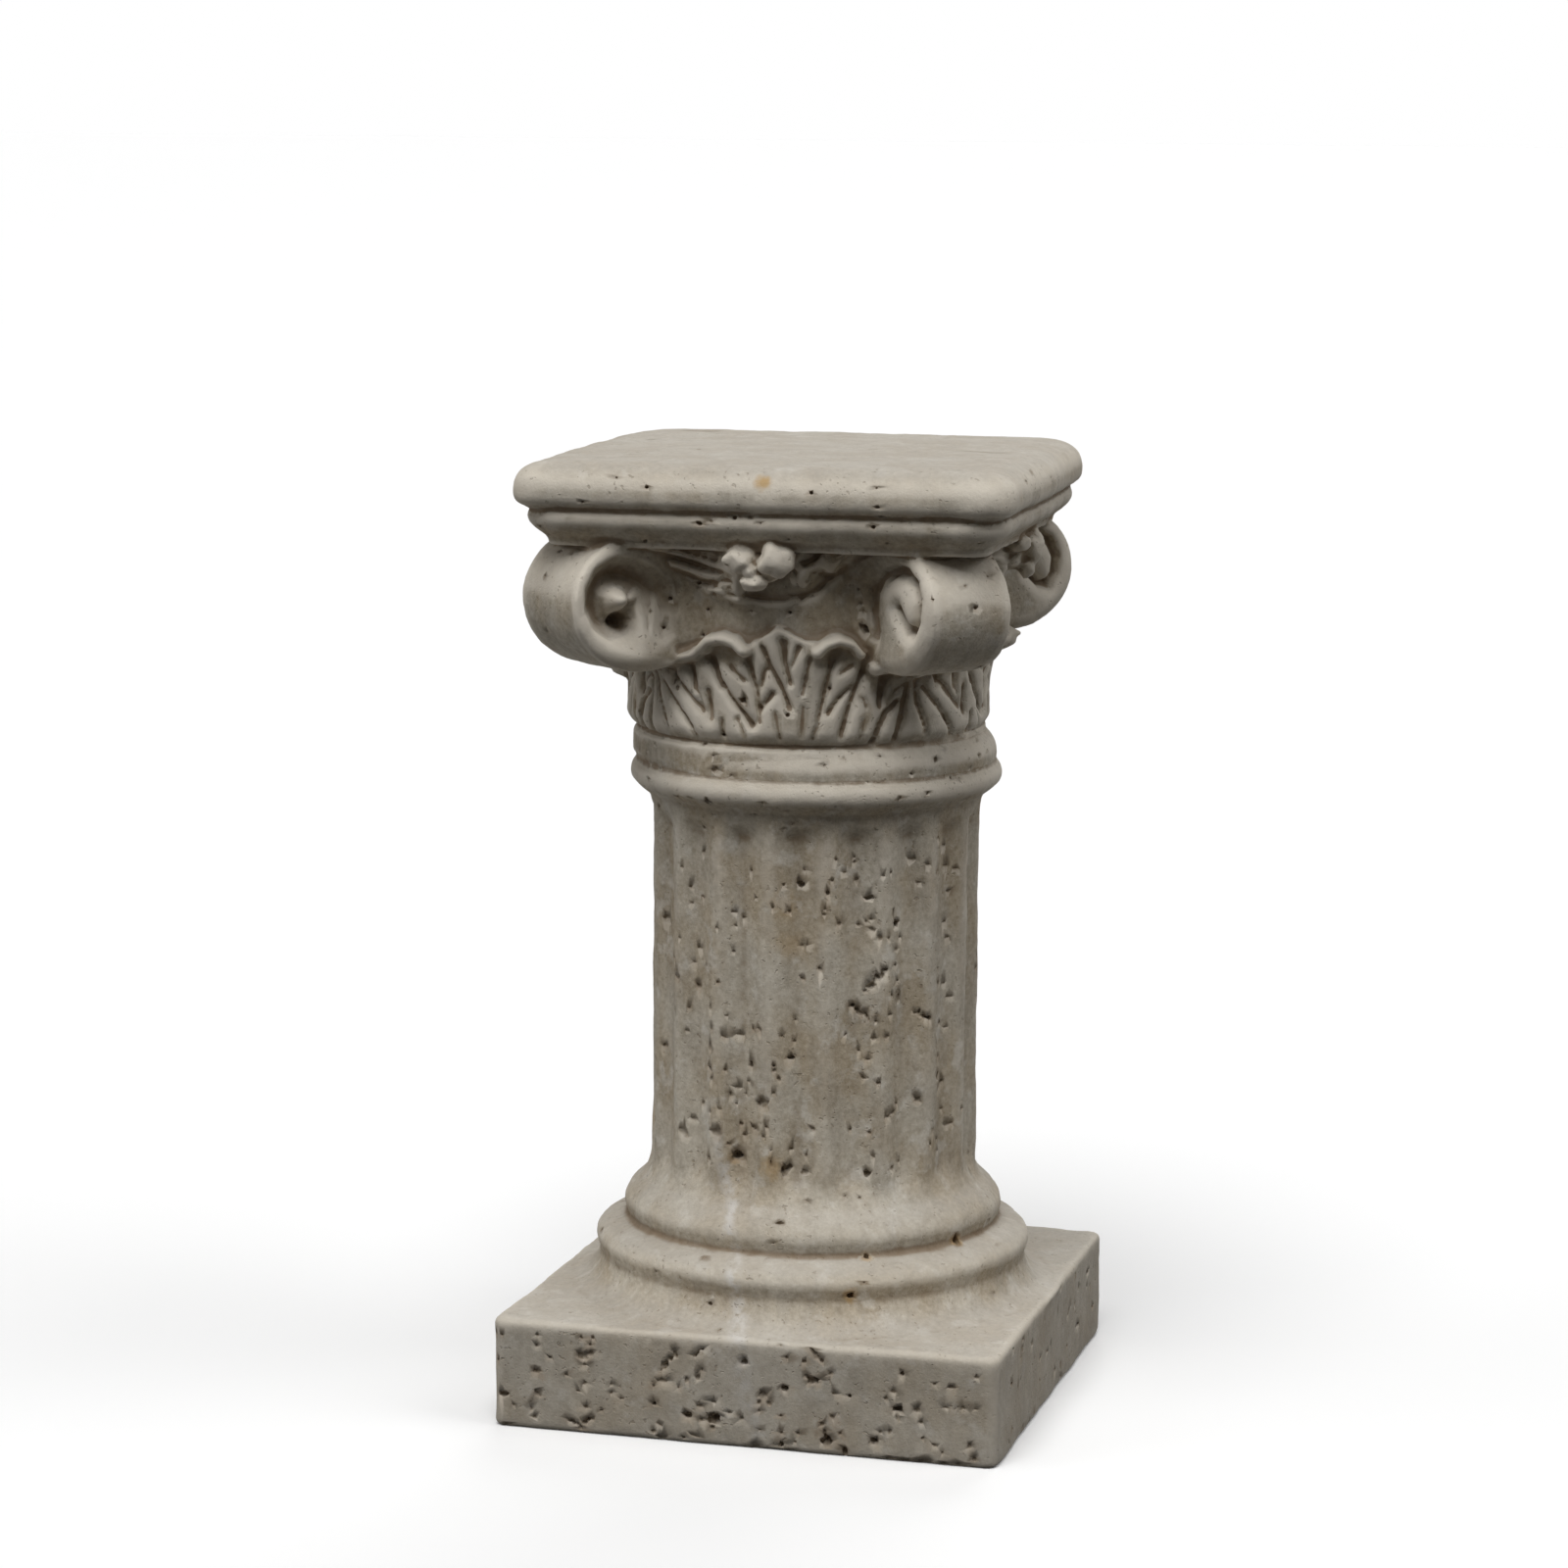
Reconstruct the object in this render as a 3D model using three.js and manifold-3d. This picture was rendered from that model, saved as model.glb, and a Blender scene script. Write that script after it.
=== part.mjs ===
// A small travertine column with a scrolled, leaf-carved capital, cut from one block.
// Millimetres, +Z up. The origin is the bottom centre of the square plinth.
import * as THREE from 'three';
import { mergeVertices } from 'three/addons/utils/BufferGeometryUtils.js';
import Module from 'manifold-3d';

// Plinth: a square block with worn arrises
const plinthSide = 160;
const plinthHeight = 34.2;
const plinthCorner = 3.5;
const plinthArris = 1.4;

// Shaft and the turned mouldings round it
const shaftX = 1.0;
const shaftRadius = 51.9;
const shaftBottom = 80;
const shaftTop = 187;
const fluteCount = 18;
const fluteDepth = 1.3;
const flutePhase = THREE.MathUtils.degToRad(8.9);
const fluteFadeBottom = 8;
const fluteFadeTop = 3;

// Capital: it sits a little off the shaft's axis and is turned a little on it
const capitalX = -1.4;
const capitalY = -0.6;
const capitalTurn = THREE.MathUtils.degToRad(2.6);
const ringFoot = 212;
const ringFootRadius = 54.6;
const ringRadius = 56.6;
const leafCount = 12;
const faceLeafTip = 246;
const cornerLeafTip = 238;
const leafReach = 61.5;
const lobeRelief = 1.3;
const leafParting = 1.8;
const lipSize = [6.6, 3.8, 2.8];
const lipLean = 0.4;
const bellRadius = 57.5;
const bellTop = 281;

// Scrolls under the four corners of the abacus
const scrollHalfHeight = 20.4;
const scrollHalfDepth = 24;
const scrollWidth = 35;
const scrollNarrowing = 0.009;
const scrollCentreZ = 257;
const scrollReach = 91.5;
const scrollArris = 2;
const channelDepth = 5;
const channelWidth = 4.2;
const channelTurns = 0.95;
const channelStart = THREE.MathUtils.degToRad(120);
const channelRadius = 11;
const channelSquash = 0.75;
const channelOffset = 12;
const eyeRadius = 4.6;

// Cheeks between the middle of a face and the scrolls
const cheekBack = -44;
const cheekThickness = 14;
const cheekSlope = 0.04;

// Abacus: a slab over a moulding, both rounded squares with slightly bowed sides
const abacusHalf = 75.6;
const abacusTop = 300;
const abacusUnder = 286.4;
const abacusCorner = 13;
const abacusBow = 1.2;
const abacusRound = 6;
const abacusUnderRound = 2.4;
const mouldingInset = 2.4;
const mouldingUnder = 276.4;
const mouldingRound = 5.6;

const quarterTurn = Math.PI / 2;
const wasm = await Module();
wasm.setup();

// A closed geometry becomes a solid once the vertices that lie together are one.
function solidOf(geometry) {
  const bare = geometry.index ? geometry.clone() : geometry;
  bare.deleteAttribute('normal');
  bare.deleteAttribute('uv');
  const merged = mergeVertices(bare, 1e-3);
  return new wasm.Manifold(new wasm.Mesh({
    numProp: 3,
    vertProperties: new Float32Array(merged.attributes.position.array),
    triVerts: new Uint32Array(merged.index.array),
  }));
}

function geometryOf(solid) {
  const mesh = solid.getMesh();
  const geometry = new THREE.BufferGeometry();
  geometry.setAttribute('position', new THREE.BufferAttribute(new Float32Array(mesh.vertProperties), 3));
  geometry.setIndex(new THREE.BufferAttribute(new Uint32Array(mesh.triVerts), 1));
  geometry.computeVertexNormals();
  return geometry;
}

// 0 below the first edge, 1 above the second, smooth between them
function ramp(value, from, to) {
  return THREE.MathUtils.smoothstep(value, from, to);
}

// A turned form whose surface is then carved: reach(angle, radius, z) is the radius that is left.
// The angle is counted from the front, -Y, towards +X.
function carvedTurning(profile, sides, startAngle, reach) {
  const points = profile.map(([radius, z]) => new THREE.Vector2(radius, z));
  const geometry = new THREE.LatheGeometry(points, sides, startAngle, 2 * Math.PI);
  geometry.rotateX(quarterTurn);
  const position = geometry.attributes.position;
  for (let column = 0; column <= sides; column += 1) {
    const angle = startAngle + 2 * Math.PI * (column % sides) / sides;
    points.forEach((point, row) => {
      const radius = point.x > 0 ? reach(angle, point.x, point.y) : 0;
      const index = column * points.length + row;
      position.setXYZ(index, radius * Math.sin(angle), -radius * Math.cos(angle), point.y);
    });
  }
  return geometry;
}

// The square foot block
function plinth() {
  const half = plinthSide / 2 - plinthArris;
  const geometry = new THREE.ExtrudeGeometry(roundedSquare(half, plinthCorner, 0), {
    depth: plinthHeight - 2 * plinthArris,
    curveSegments: 2,
    bevelSize: plinthArris,
    bevelThickness: plinthArris,
    bevelSegments: 2,
  });
  geometry.translate(0, 0, plinthArris);
  return solidOf(geometry);
}

// A square of the given half width with rounded corners and sides that bow out by the given amount
function roundedSquare(half, corner, bow) {
  const shape = new THREE.Shape();
  const flat = half - corner;
  shape.moveTo(-flat, -half);
  for (let side = 0; side < 4; side += 1) {
    const turn = side * quarterTurn;
    const along = new THREE.Vector2(Math.cos(turn), Math.sin(turn));
    const out = new THREE.Vector2(Math.sin(turn), -Math.cos(turn));
    const at = (x, y) => along.clone().multiplyScalar(x).addScaledVector(out, y);
    const end = at(flat, half);
    if (bow > 0) {
      const middle = at(0, half + 2 * bow);
      shape.quadraticCurveTo(middle.x, middle.y, end.x, end.y);
    } else {
      shape.lineTo(end.x, end.y);
    }
    const centre = at(flat, flat);
    shape.absarc(centre.x, centre.y, corner, turn - quarterTurn, turn, false);
  }
  return shape;
}

// Two tori over a sweep down to the plinth, the fluted shaft, and the ring and collar at its head
function shaft() {
  const foot = [
    [0, 30], [76.5, 33.6], [70.6, 35.8], [67.4, 39.4], [67.6, 43], [70.4, 47], [69.2, 51],
    [62.8, 56.6], [60.9, 58.4], [59.9, 62], [57, 66.4], [53.2, 70.6], [52, 75],
  ];
  const head = [
    [52, 189.4], [53.4, 192.2], [57, 195.2], [58.4, 198.6], [56.6, 203], [56.3, 208.6], [54.8, 212],
    [0, 216],
  ];
  const between = [shaftBottom, 110, 145, shaftTop];
  const profile = [...foot, ...between.map((z) => [shaftRadius, z]), ...head];
  const flute = (angle, radius, z) => {
    const strength = ramp(z, shaftBottom - fluteFadeBottom, shaftBottom + fluteFadeBottom)
      * (1 - ramp(z, shaftTop, shaftTop + fluteFadeTop));
    const hollow = (1 + Math.cos(fluteCount * (angle - flutePhase))) / 2;
    return radius - fluteDepth * strength * hollow;
  };
  return solidOf(carvedTurning(profile, 3 * fluteCount, flutePhase, flute)).translate([shaftX, 0, 0]);
}

// The bell of the capital, carved with a ring of upright leaves that lean out at their tips
function bell() {
  const levels = [ringFoot, 217, 223, 229, 233.5, 237.5, 241, 245, 249, 258, bellTop];
  const profile = [[0, ringFoot - 8], [53, ringFoot - 4], ...levels.map((z) => [bellRadius, z]), [0, bellTop]];
  const leafAngle = 2 * Math.PI / leafCount;
  const carved = (angle, radius, z) => {
    if (z < ringFoot) {
      return radius;
    }
    const across = Math.abs(((angle / leafAngle) % 1 + 1) % 1 * 2 - 1);
    const corner = Math.pow(Math.abs(Math.sin(2 * angle)), 4);
    const tip = THREE.MathUtils.lerp(faceLeafTip, cornerLeafTip, corner) - 3 * across;
    const foot = THREE.MathUtils.lerp(ringFootRadius, ringRadius, ramp(z, ringFoot, ringFoot + 6));
    const lean = (leafReach - ringRadius) * Math.pow(ramp(z, ringFoot + 8, tip), 2);
    const lobes = lobeRelief * Math.cos(3 * Math.PI * across) - leafParting * across;
    const leaf = foot + lean + lobes * ramp(z, ringFoot, ringFoot + 5);
    return THREE.MathUtils.lerp(leaf, bellRadius, ramp(z, tip, tip + 3));
  };
  return solidOf(carvedTurning(profile, 5 * leafCount, 0, carved));
}

// The curled-over tips of the leaves, thick little lips
function leafTips() {
  const lips = [];
  for (let leaf = 0; leaf < leafCount; leaf += 1) {
    const angle = (leaf + 0.5) * 2 * Math.PI / leafCount;
    const onCorner = Math.abs(Math.sin(2 * angle)) > 0.9;
    const lip = new THREE.SphereGeometry(1, 7, 4);
    lip.scale(...lipSize);
    lip.rotateX(lipLean);
    lip.translate(0, 1 - leafReach, (onCorner ? cornerLeafTip : faceLeafTip) - 1);
    lip.rotateZ(angle);
    lips.push(solidOf(lip));
  }
  return wasm.Manifold.union(lips);
}

// A flat spiral band from the rim of a scroll in to its eye
function spiralBand(steps) {
  const edge = (step, offset) => {
    const t = step / steps;
    const angle = channelStart + 2 * Math.PI * channelTurns * t;
    const radius = THREE.MathUtils.lerp(channelRadius, eyeRadius, t) + offset * (1 - 0.3 * t);
    return new THREE.Vector2(radius * Math.cos(angle), channelSquash * radius * Math.sin(angle) - channelOffset);
  };
  const stations = Array.from({ length: steps + 1 }, (unused, step) => step);
  const outer = stations.map((step) => edge(step, channelWidth / 2));
  const inner = stations.map((step) => edge(step, -channelWidth / 2)).reverse();
  return new THREE.Shape([...outer, ...inner]);
}

// One scroll, rolled about a level axis across the corner, with a spiral sunk in both ends.
// It is made lying along Z, narrowed towards the bell, then stood up and pushed out to the corner.
function scroll(angle) {
  const outline = new THREE.Shape();
  const high = scrollHalfHeight - scrollArris;
  const deep = scrollHalfDepth - scrollArris;
  outline.absellipse(0, 0, high, deep, 0, 2 * Math.PI, false, 0);
  const roll = new THREE.ExtrudeGeometry(outline, {
    depth: scrollWidth - 2 * scrollArris,
    curveSegments: 12,
    bevelSize: scrollArris,
    bevelThickness: scrollArris,
    bevelSegments: 1,
  });
  roll.translate(0, 0, scrollArris - scrollWidth / 2);
  const position = roll.attributes.position;
  for (let index = 0; index < position.count; index += 1) {
    const inward = position.getY(index) + scrollHalfDepth;
    position.setZ(index, position.getZ(index) * (1 - scrollNarrowing * inward));
  }
  let solid = solidOf(roll);
  const band = spiralBand(13);
  for (const end of [-1, 1]) {
    const channel = new THREE.ExtrudeGeometry(band, { depth: 2 * channelDepth, bevelEnabled: false });
    channel.translate(0, 0, end * (scrollWidth / 2 - 2 * scrollArris) - channelDepth);
    solid = solid.subtract(solidOf(channel));
  }
  const placed = new THREE.Matrix4()
    .makeRotationZ(angle)
    .multiply(new THREE.Matrix4().makeTranslation(0, -(scrollReach - scrollHalfDepth), scrollCentreZ))
    .multiply(new THREE.Matrix4().makeRotationY(quarterTurn));
  return solid.transform(placed.elements);
}

// The concave cheeks that sweep from the middle of a face out to the scrolls. Their upper edges
// are the stems of the scrolls, and they die into the bell behind the leaves.
function cheeks(angle) {
  const side = new THREE.Shape();
  side.moveTo(2, 258);
  side.quadraticCurveTo(18, 260, 27, 270);
  side.lineTo(37, 276);
  side.lineTo(37, 242);
  side.lineTo(2, 240);
  const parts = [1, -1].map((hand) => {
    const cheek = new THREE.ExtrudeGeometry(side, { depth: cheekThickness, curveSegments: 4, bevelEnabled: false });
    cheek.rotateX(quarterTurn);
    cheek.translate(0, cheekBack, 0);
    const position = cheek.attributes.position;
    for (let index = 0; index < position.count; index += 1) {
      position.setY(index, position.getY(index) - cheekSlope * position.getX(index));
    }
    const solid = solidOf(cheek);
    return hand > 0 ? solid : solid.mirror([1, 0, 0]);
  });
  const turned = new THREE.Matrix4().makeRotationZ(angle);
  return wasm.Manifold.union(parts).transform(turned.elements);
}

// The flower at the middle of each face: a knob, a side lobe and a lower lobe on a short stalk
function flower(angle) {
  const lobes = [
    { at: [6.4, -70, 270.4], size: [5.4, 4.6, 5.6] },
    { at: [-5.6, -70, 271], size: [5.6, 4.4, 4.6] },
    { at: [-0.6, -69.5, 264.8], size: [4.4, 4.2, 3.6] },
    { at: [0, -63, 269], size: [6, 9, 6] },
  ];
  const parts = lobes.map(({ at, size }) => {
    const lobe = new THREE.SphereGeometry(1, 7, 5);
    lobe.scale(...size);
    lobe.translate(...at);
    return solidOf(lobe);
  });
  const turned = new THREE.Matrix4().makeRotationZ(angle);
  return wasm.Manifold.union(parts).transform(turned.elements);
}

// A rounded-square slab between two heights, its edges rounded by the given radius
function slab(half, under, top, round, steps) {
  const corner = abacusCorner - round / 2;
  const geometry = new THREE.ExtrudeGeometry(roundedSquare(half - round, corner, abacusBow), {
    depth: top - under - 2 * round,
    curveSegments: 4,
    bevelSize: round,
    bevelThickness: round,
    bevelSegments: steps,
  });
  geometry.translate(0, 0, under + round);
  return solidOf(geometry);
}

function abacus() {
  const thickness = abacusTop - abacusUnder;
  const roundedAbove = slab(abacusHalf, abacusUnder - thickness, abacusTop, abacusRound, 3);
  const roundedBelow = slab(abacusHalf, abacusUnder, abacusTop + thickness, abacusUnderRound, 2);
  const mouldingHalf = abacusHalf - mouldingInset;
  const moulding = slab(mouldingHalf, mouldingUnder, abacusUnder + 3, mouldingRound, 2);
  return roundedAbove.intersect(roundedBelow).add(moulding);
}

function capital() {
  const parts = [bell(), leafTips(), abacus()];
  for (let side = 0; side < 4; side += 1) {
    parts.push(scroll((side + 0.5) * quarterTurn));
    parts.push(cheeks(side * quarterTurn));
    parts.push(flower(side * quarterTurn));
  }
  const placed = new THREE.Matrix4()
    .makeTranslation(capitalX, capitalY, 0)
    .multiply(new THREE.Matrix4().makeRotationZ(capitalTurn));
  return wasm.Manifold.union(parts).transform(placed.elements);
}

const travertine = new THREE.MeshStandardMaterial({ color: 0xb8b0a4, roughness: 0.85, metalness: 0 });
const stone = wasm.Manifold.union([plinth(), shaft(), capital()]);
const column = new THREE.Mesh(geometryOf(stone), travertine);
column.name = 'travertine_column';

const part = new THREE.Group();
part.add(column);

export default part;
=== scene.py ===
import math
import random

import bmesh
import bpy
import numpy as np
from mathutils import Matrix, Vector, noise
from mathutils.bvhtree import BVHTree
from mathutils.geometry import interpolate_bezier


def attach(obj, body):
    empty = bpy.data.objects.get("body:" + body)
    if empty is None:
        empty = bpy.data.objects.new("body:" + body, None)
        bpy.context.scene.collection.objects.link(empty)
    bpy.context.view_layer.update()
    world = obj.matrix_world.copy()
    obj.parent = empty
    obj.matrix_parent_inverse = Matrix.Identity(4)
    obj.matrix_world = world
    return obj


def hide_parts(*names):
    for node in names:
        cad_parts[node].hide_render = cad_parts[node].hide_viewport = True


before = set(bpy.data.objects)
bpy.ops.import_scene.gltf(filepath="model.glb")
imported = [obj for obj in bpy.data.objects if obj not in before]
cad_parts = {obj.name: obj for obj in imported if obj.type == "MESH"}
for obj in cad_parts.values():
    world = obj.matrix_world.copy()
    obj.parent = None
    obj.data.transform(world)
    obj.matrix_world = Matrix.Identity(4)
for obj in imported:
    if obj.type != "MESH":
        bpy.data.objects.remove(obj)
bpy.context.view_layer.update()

# The view of the photograph: a long lens a little above the capital, from the right of the front.
camera_place = Vector((0.35377, -1.33302, 0.40844))
camera_aim = Vector((-0.01036, 0.00315, 0.19269))
camera_roll = math.radians(0.4)
camera_data = bpy.data.cameras.new("camera")
camera_data.lens = 101.25
camera_data.sensor_width = 36
camera = bpy.data.objects.new("camera", camera_data)
camera_turn = (camera_aim - camera_place).to_track_quat("-Z", "Y").to_matrix().to_4x4()
camera.matrix_world = Matrix.Translation(camera_place) @ camera_turn @ Matrix.Rotation(camera_roll, 4, "Z")
bpy.context.scene.collection.objects.link(camera)
bpy.context.scene.camera = camera


# One stone. Everything below is modelled in millimetres, as the mason's drawing would have it, and
# the finished block is brought to metres at the end.
stone_scale = 0.001


def smooth_line(points, steps):
    """A smooth line through a few points, with some steps between each two of them."""
    points = [Vector((*point, 0)) for point in points]
    before = [2 * points[0] - points[1]] + points[:-1]
    after = points[1:] + [2 * points[-1] - points[-2]]
    slopes = [(b - a) / 6 for a, b in zip(before, after)]
    line = [points[0]]
    for start, end, slope_out, slope_in in zip(points, points[1:], slopes, slopes[1:]):
        reach = (end - start).length / 2.2
        leave = slope_out.normalized() * min(slope_out.length, reach)
        arrive = slope_in.normalized() * min(slope_in.length, reach)
        line += interpolate_bezier(start, start + leave, end - arrive, end, steps + 1)[1:]
    return [(point.x, point.y) for point in line]


def turned(profile, steps):
    """A closed turned form, spun round Z from a profile of (radius, height) that starts and ends on
    the axis."""
    form = bmesh.new()
    corners = [form.verts.new((radius, 0, height)) for radius, height in profile]
    edges = [form.edges.new(pair) for pair in zip(corners, corners[1:])]
    bmesh.ops.spin(
        form, geom=corners + edges, axis=(0, 0, 1), angle=2 * math.pi, steps=steps, use_merge=True
    )
    bmesh.ops.remove_doubles(form, verts=form.verts, dist=1e-4)
    bmesh.ops.recalc_face_normals(form, faces=form.faces)
    return form


def mesh_of(form):
    mesh = bpy.data.meshes.new("form")
    form.to_mesh(mesh)
    form.free()
    return mesh


def points_of(mesh):
    points = np.empty(len(mesh.vertices) * 3)
    mesh.vertices.foreach_get("co", points)
    return points.reshape(-1, 3)


def move_points(mesh, points):
    mesh.vertices.foreach_set("co", points.ravel())
    mesh.update()


def ramp(value, low, high):
    """0 below the low edge, 1 above the high one, smooth between them."""
    share = np.clip((value - low) / (high - low), 0, 1)
    return share * share * (3 - 2 * share)


def squared(mesh, side_half, corners, bow):
    """Turns a turned form into a square one: each ring becomes a rounded square of that half width.
    The corners' radii are given from the back right, by the back left and the front left, to the
    front right, and each side is bowed out a little in its middle."""
    points = points_of(mesh)
    half = np.hypot(points[:, 0], points[:, 1])
    angle = np.arctan2(points[:, 1], points[:, 0])
    folded = np.abs((angle + math.pi / 4) % (math.pi / 2) - math.pi / 4)
    corner = np.array(corners)[(angle // (math.pi / 2)).astype(int) % 4]
    radius = np.clip(corner - (side_half - half), 0.5, None)
    radius = np.minimum(radius, half)
    inner = half - radius
    both = np.cos(folded) + np.sin(folded)
    on_side = half / np.cos(folded)
    on_corner = inner * both + np.sqrt(np.maximum(radius**2 - inner**2 * (1 - np.sin(2 * folded)), 0))
    reach = np.where(half * np.tan(folded) <= inner, on_side, on_corner)
    reach += bow * np.cos(2 * folded) ** 2 * half / side_half
    points[:, 0] = reach * np.cos(angle)
    points[:, 1] = reach * np.sin(angle)
    move_points(mesh, points)


stone_forms = []

# Plinth: the square foot of the block, of the same travertine as all above it. Its sides and its
# underside are sawn flat, and its arrises are worn.
plinth_half = 80
plinth_height = 34.2
plinth_arris = 1.6
plinth_corners = (3.5, 3.5, 3.5, 3.5)
low = plinth_arris * 0.3
plinth_profile = [
    (0, 0), (plinth_half - plinth_arris, 0), (plinth_half - low, low), (plinth_half, plinth_arris),
    (plinth_half, plinth_height - plinth_arris), (plinth_half - low, plinth_height - low),
    (plinth_half - plinth_arris, plinth_height), (0, plinth_height),
]
plinth = mesh_of(turned(plinth_profile, 720))
squared(plinth, plinth_half, plinth_corners, 0)
stone_forms.append(plinth)

# Base and shaft, cut from the block in one and round all the way: a sweep, two tori, the drum with
# its shallow worn flutes, an astragal and a collar.
shaft_x = 1.0
shaft_y = 0.25
flute_count = 18
flute_depth = 2.8
flute_phase = math.radians(8.9)
base_curve = [
    (80, 33), (79, 33.9), (76.5, 34.4), (73.8, 35.3), (71.4, 36.9), (69.5, 39.2), (68.4, 41.8), (68, 43.8),
    (68.3, 45.4), (69, 47.4), (69, 49.5), (67.8, 51.5), (65.6, 53), (62.6, 54.1), (60.4, 54.8),
    (59.3, 55.8), (59.5, 57.3), (60.1, 59.6), (59.7, 62.2), (58, 64.8), (55.4, 67.2), (53.2, 69.6),
    (51.9, 74),
]
drum_curve = [(51.9, 80), (51.8, 92), (51.8, 130), (51.9, 170), (52, 184)]
head_curve = [
    (52.1, 188.5), (53, 191.8), (55.6, 193.9), (57.8, 196), (58.5, 198.4), (57.9, 200.9), (56.7, 202.6),
    (56.9, 204.6), (56.5, 207.6), (55.0, 210.6), (53.4, 212.4), (53.4, 214),
]
body_line = smooth_line(base_curve + drum_curve + head_curve, 3)
shaft = mesh_of(turned([(0, 32)] + body_line + [(0, 216)], 12 * flute_count))
points = points_of(shaft)
radius = np.hypot(points[:, 0], points[:, 1])
angle = np.arctan2(points[:, 0], -points[:, 1])
height = points[:, 2]
hollow = (1 + np.cos(flute_count * (angle - flute_phase))) / 2
strength = ramp(height, 69, 80) * (1 - ramp(height, 184, 189))
cut = flute_depth * strength * hollow**1.1
points[:, :2] *= ((radius - cut) / np.maximum(radius, 0.1))[:, None]
points[:, 0] += shaft_x
points[:, 1] += shaft_y
move_points(shaft, points)
stone_forms.append(shaft)

# Capital: the carved head of the same block. The forms from here up stand on the capital's own
# centre and are set on the shaft together, a little off its axis and a little turned, as the mason
# left them.
capital_forms = []
capital_x = -1.4
capital_y = -0.6
capital_turn = math.radians(2.6)


def stroke(across, up, path, widths, depth, edge=1.0, start_share=1.0):
    """How deep one cut goes at each point: a V along a path, from one half width to another. It may
    start shallower, with a share of its depth."""
    deepest = np.zeros_like(across)
    path = [Vector(point) for point in path]
    lengths = [(b - a).length for a, b in zip(path, path[1:])]
    gone = 0
    for start, end, length in zip(path, path[1:], lengths):
        along = (end - start) / length
        x, y = across - start.x, up - start.y
        share = np.clip(x * along.x + y * along.y, 0, length)
        distance = np.hypot(x - share * along.x, y - share * along.y)
        travelled = (gone + share) / sum(lengths)
        width = widths[0] + (widths[1] - widths[0]) * travelled
        sharp = np.clip(1 - distance / width, 0, 1) ** edge
        soft = np.exp(-((distance / (1.7 * width)) ** 2))
        reached = start_share + (1 - start_share) * ramp(travelled, 0, 0.4)
        deepest = np.maximum(deepest, depth * reached * (0.6 * sharp + 0.4 * soft))
        gone += length
    return deepest


def mound(across, up, centre, size, height):
    """A low rounded mound, or with a negative height a hollow."""
    reach = ((across - centre[0]) / size[0]) ** 2 + ((up - centre[1]) / size[1]) ** 2
    return height * np.exp(-reach**1.5)


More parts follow.
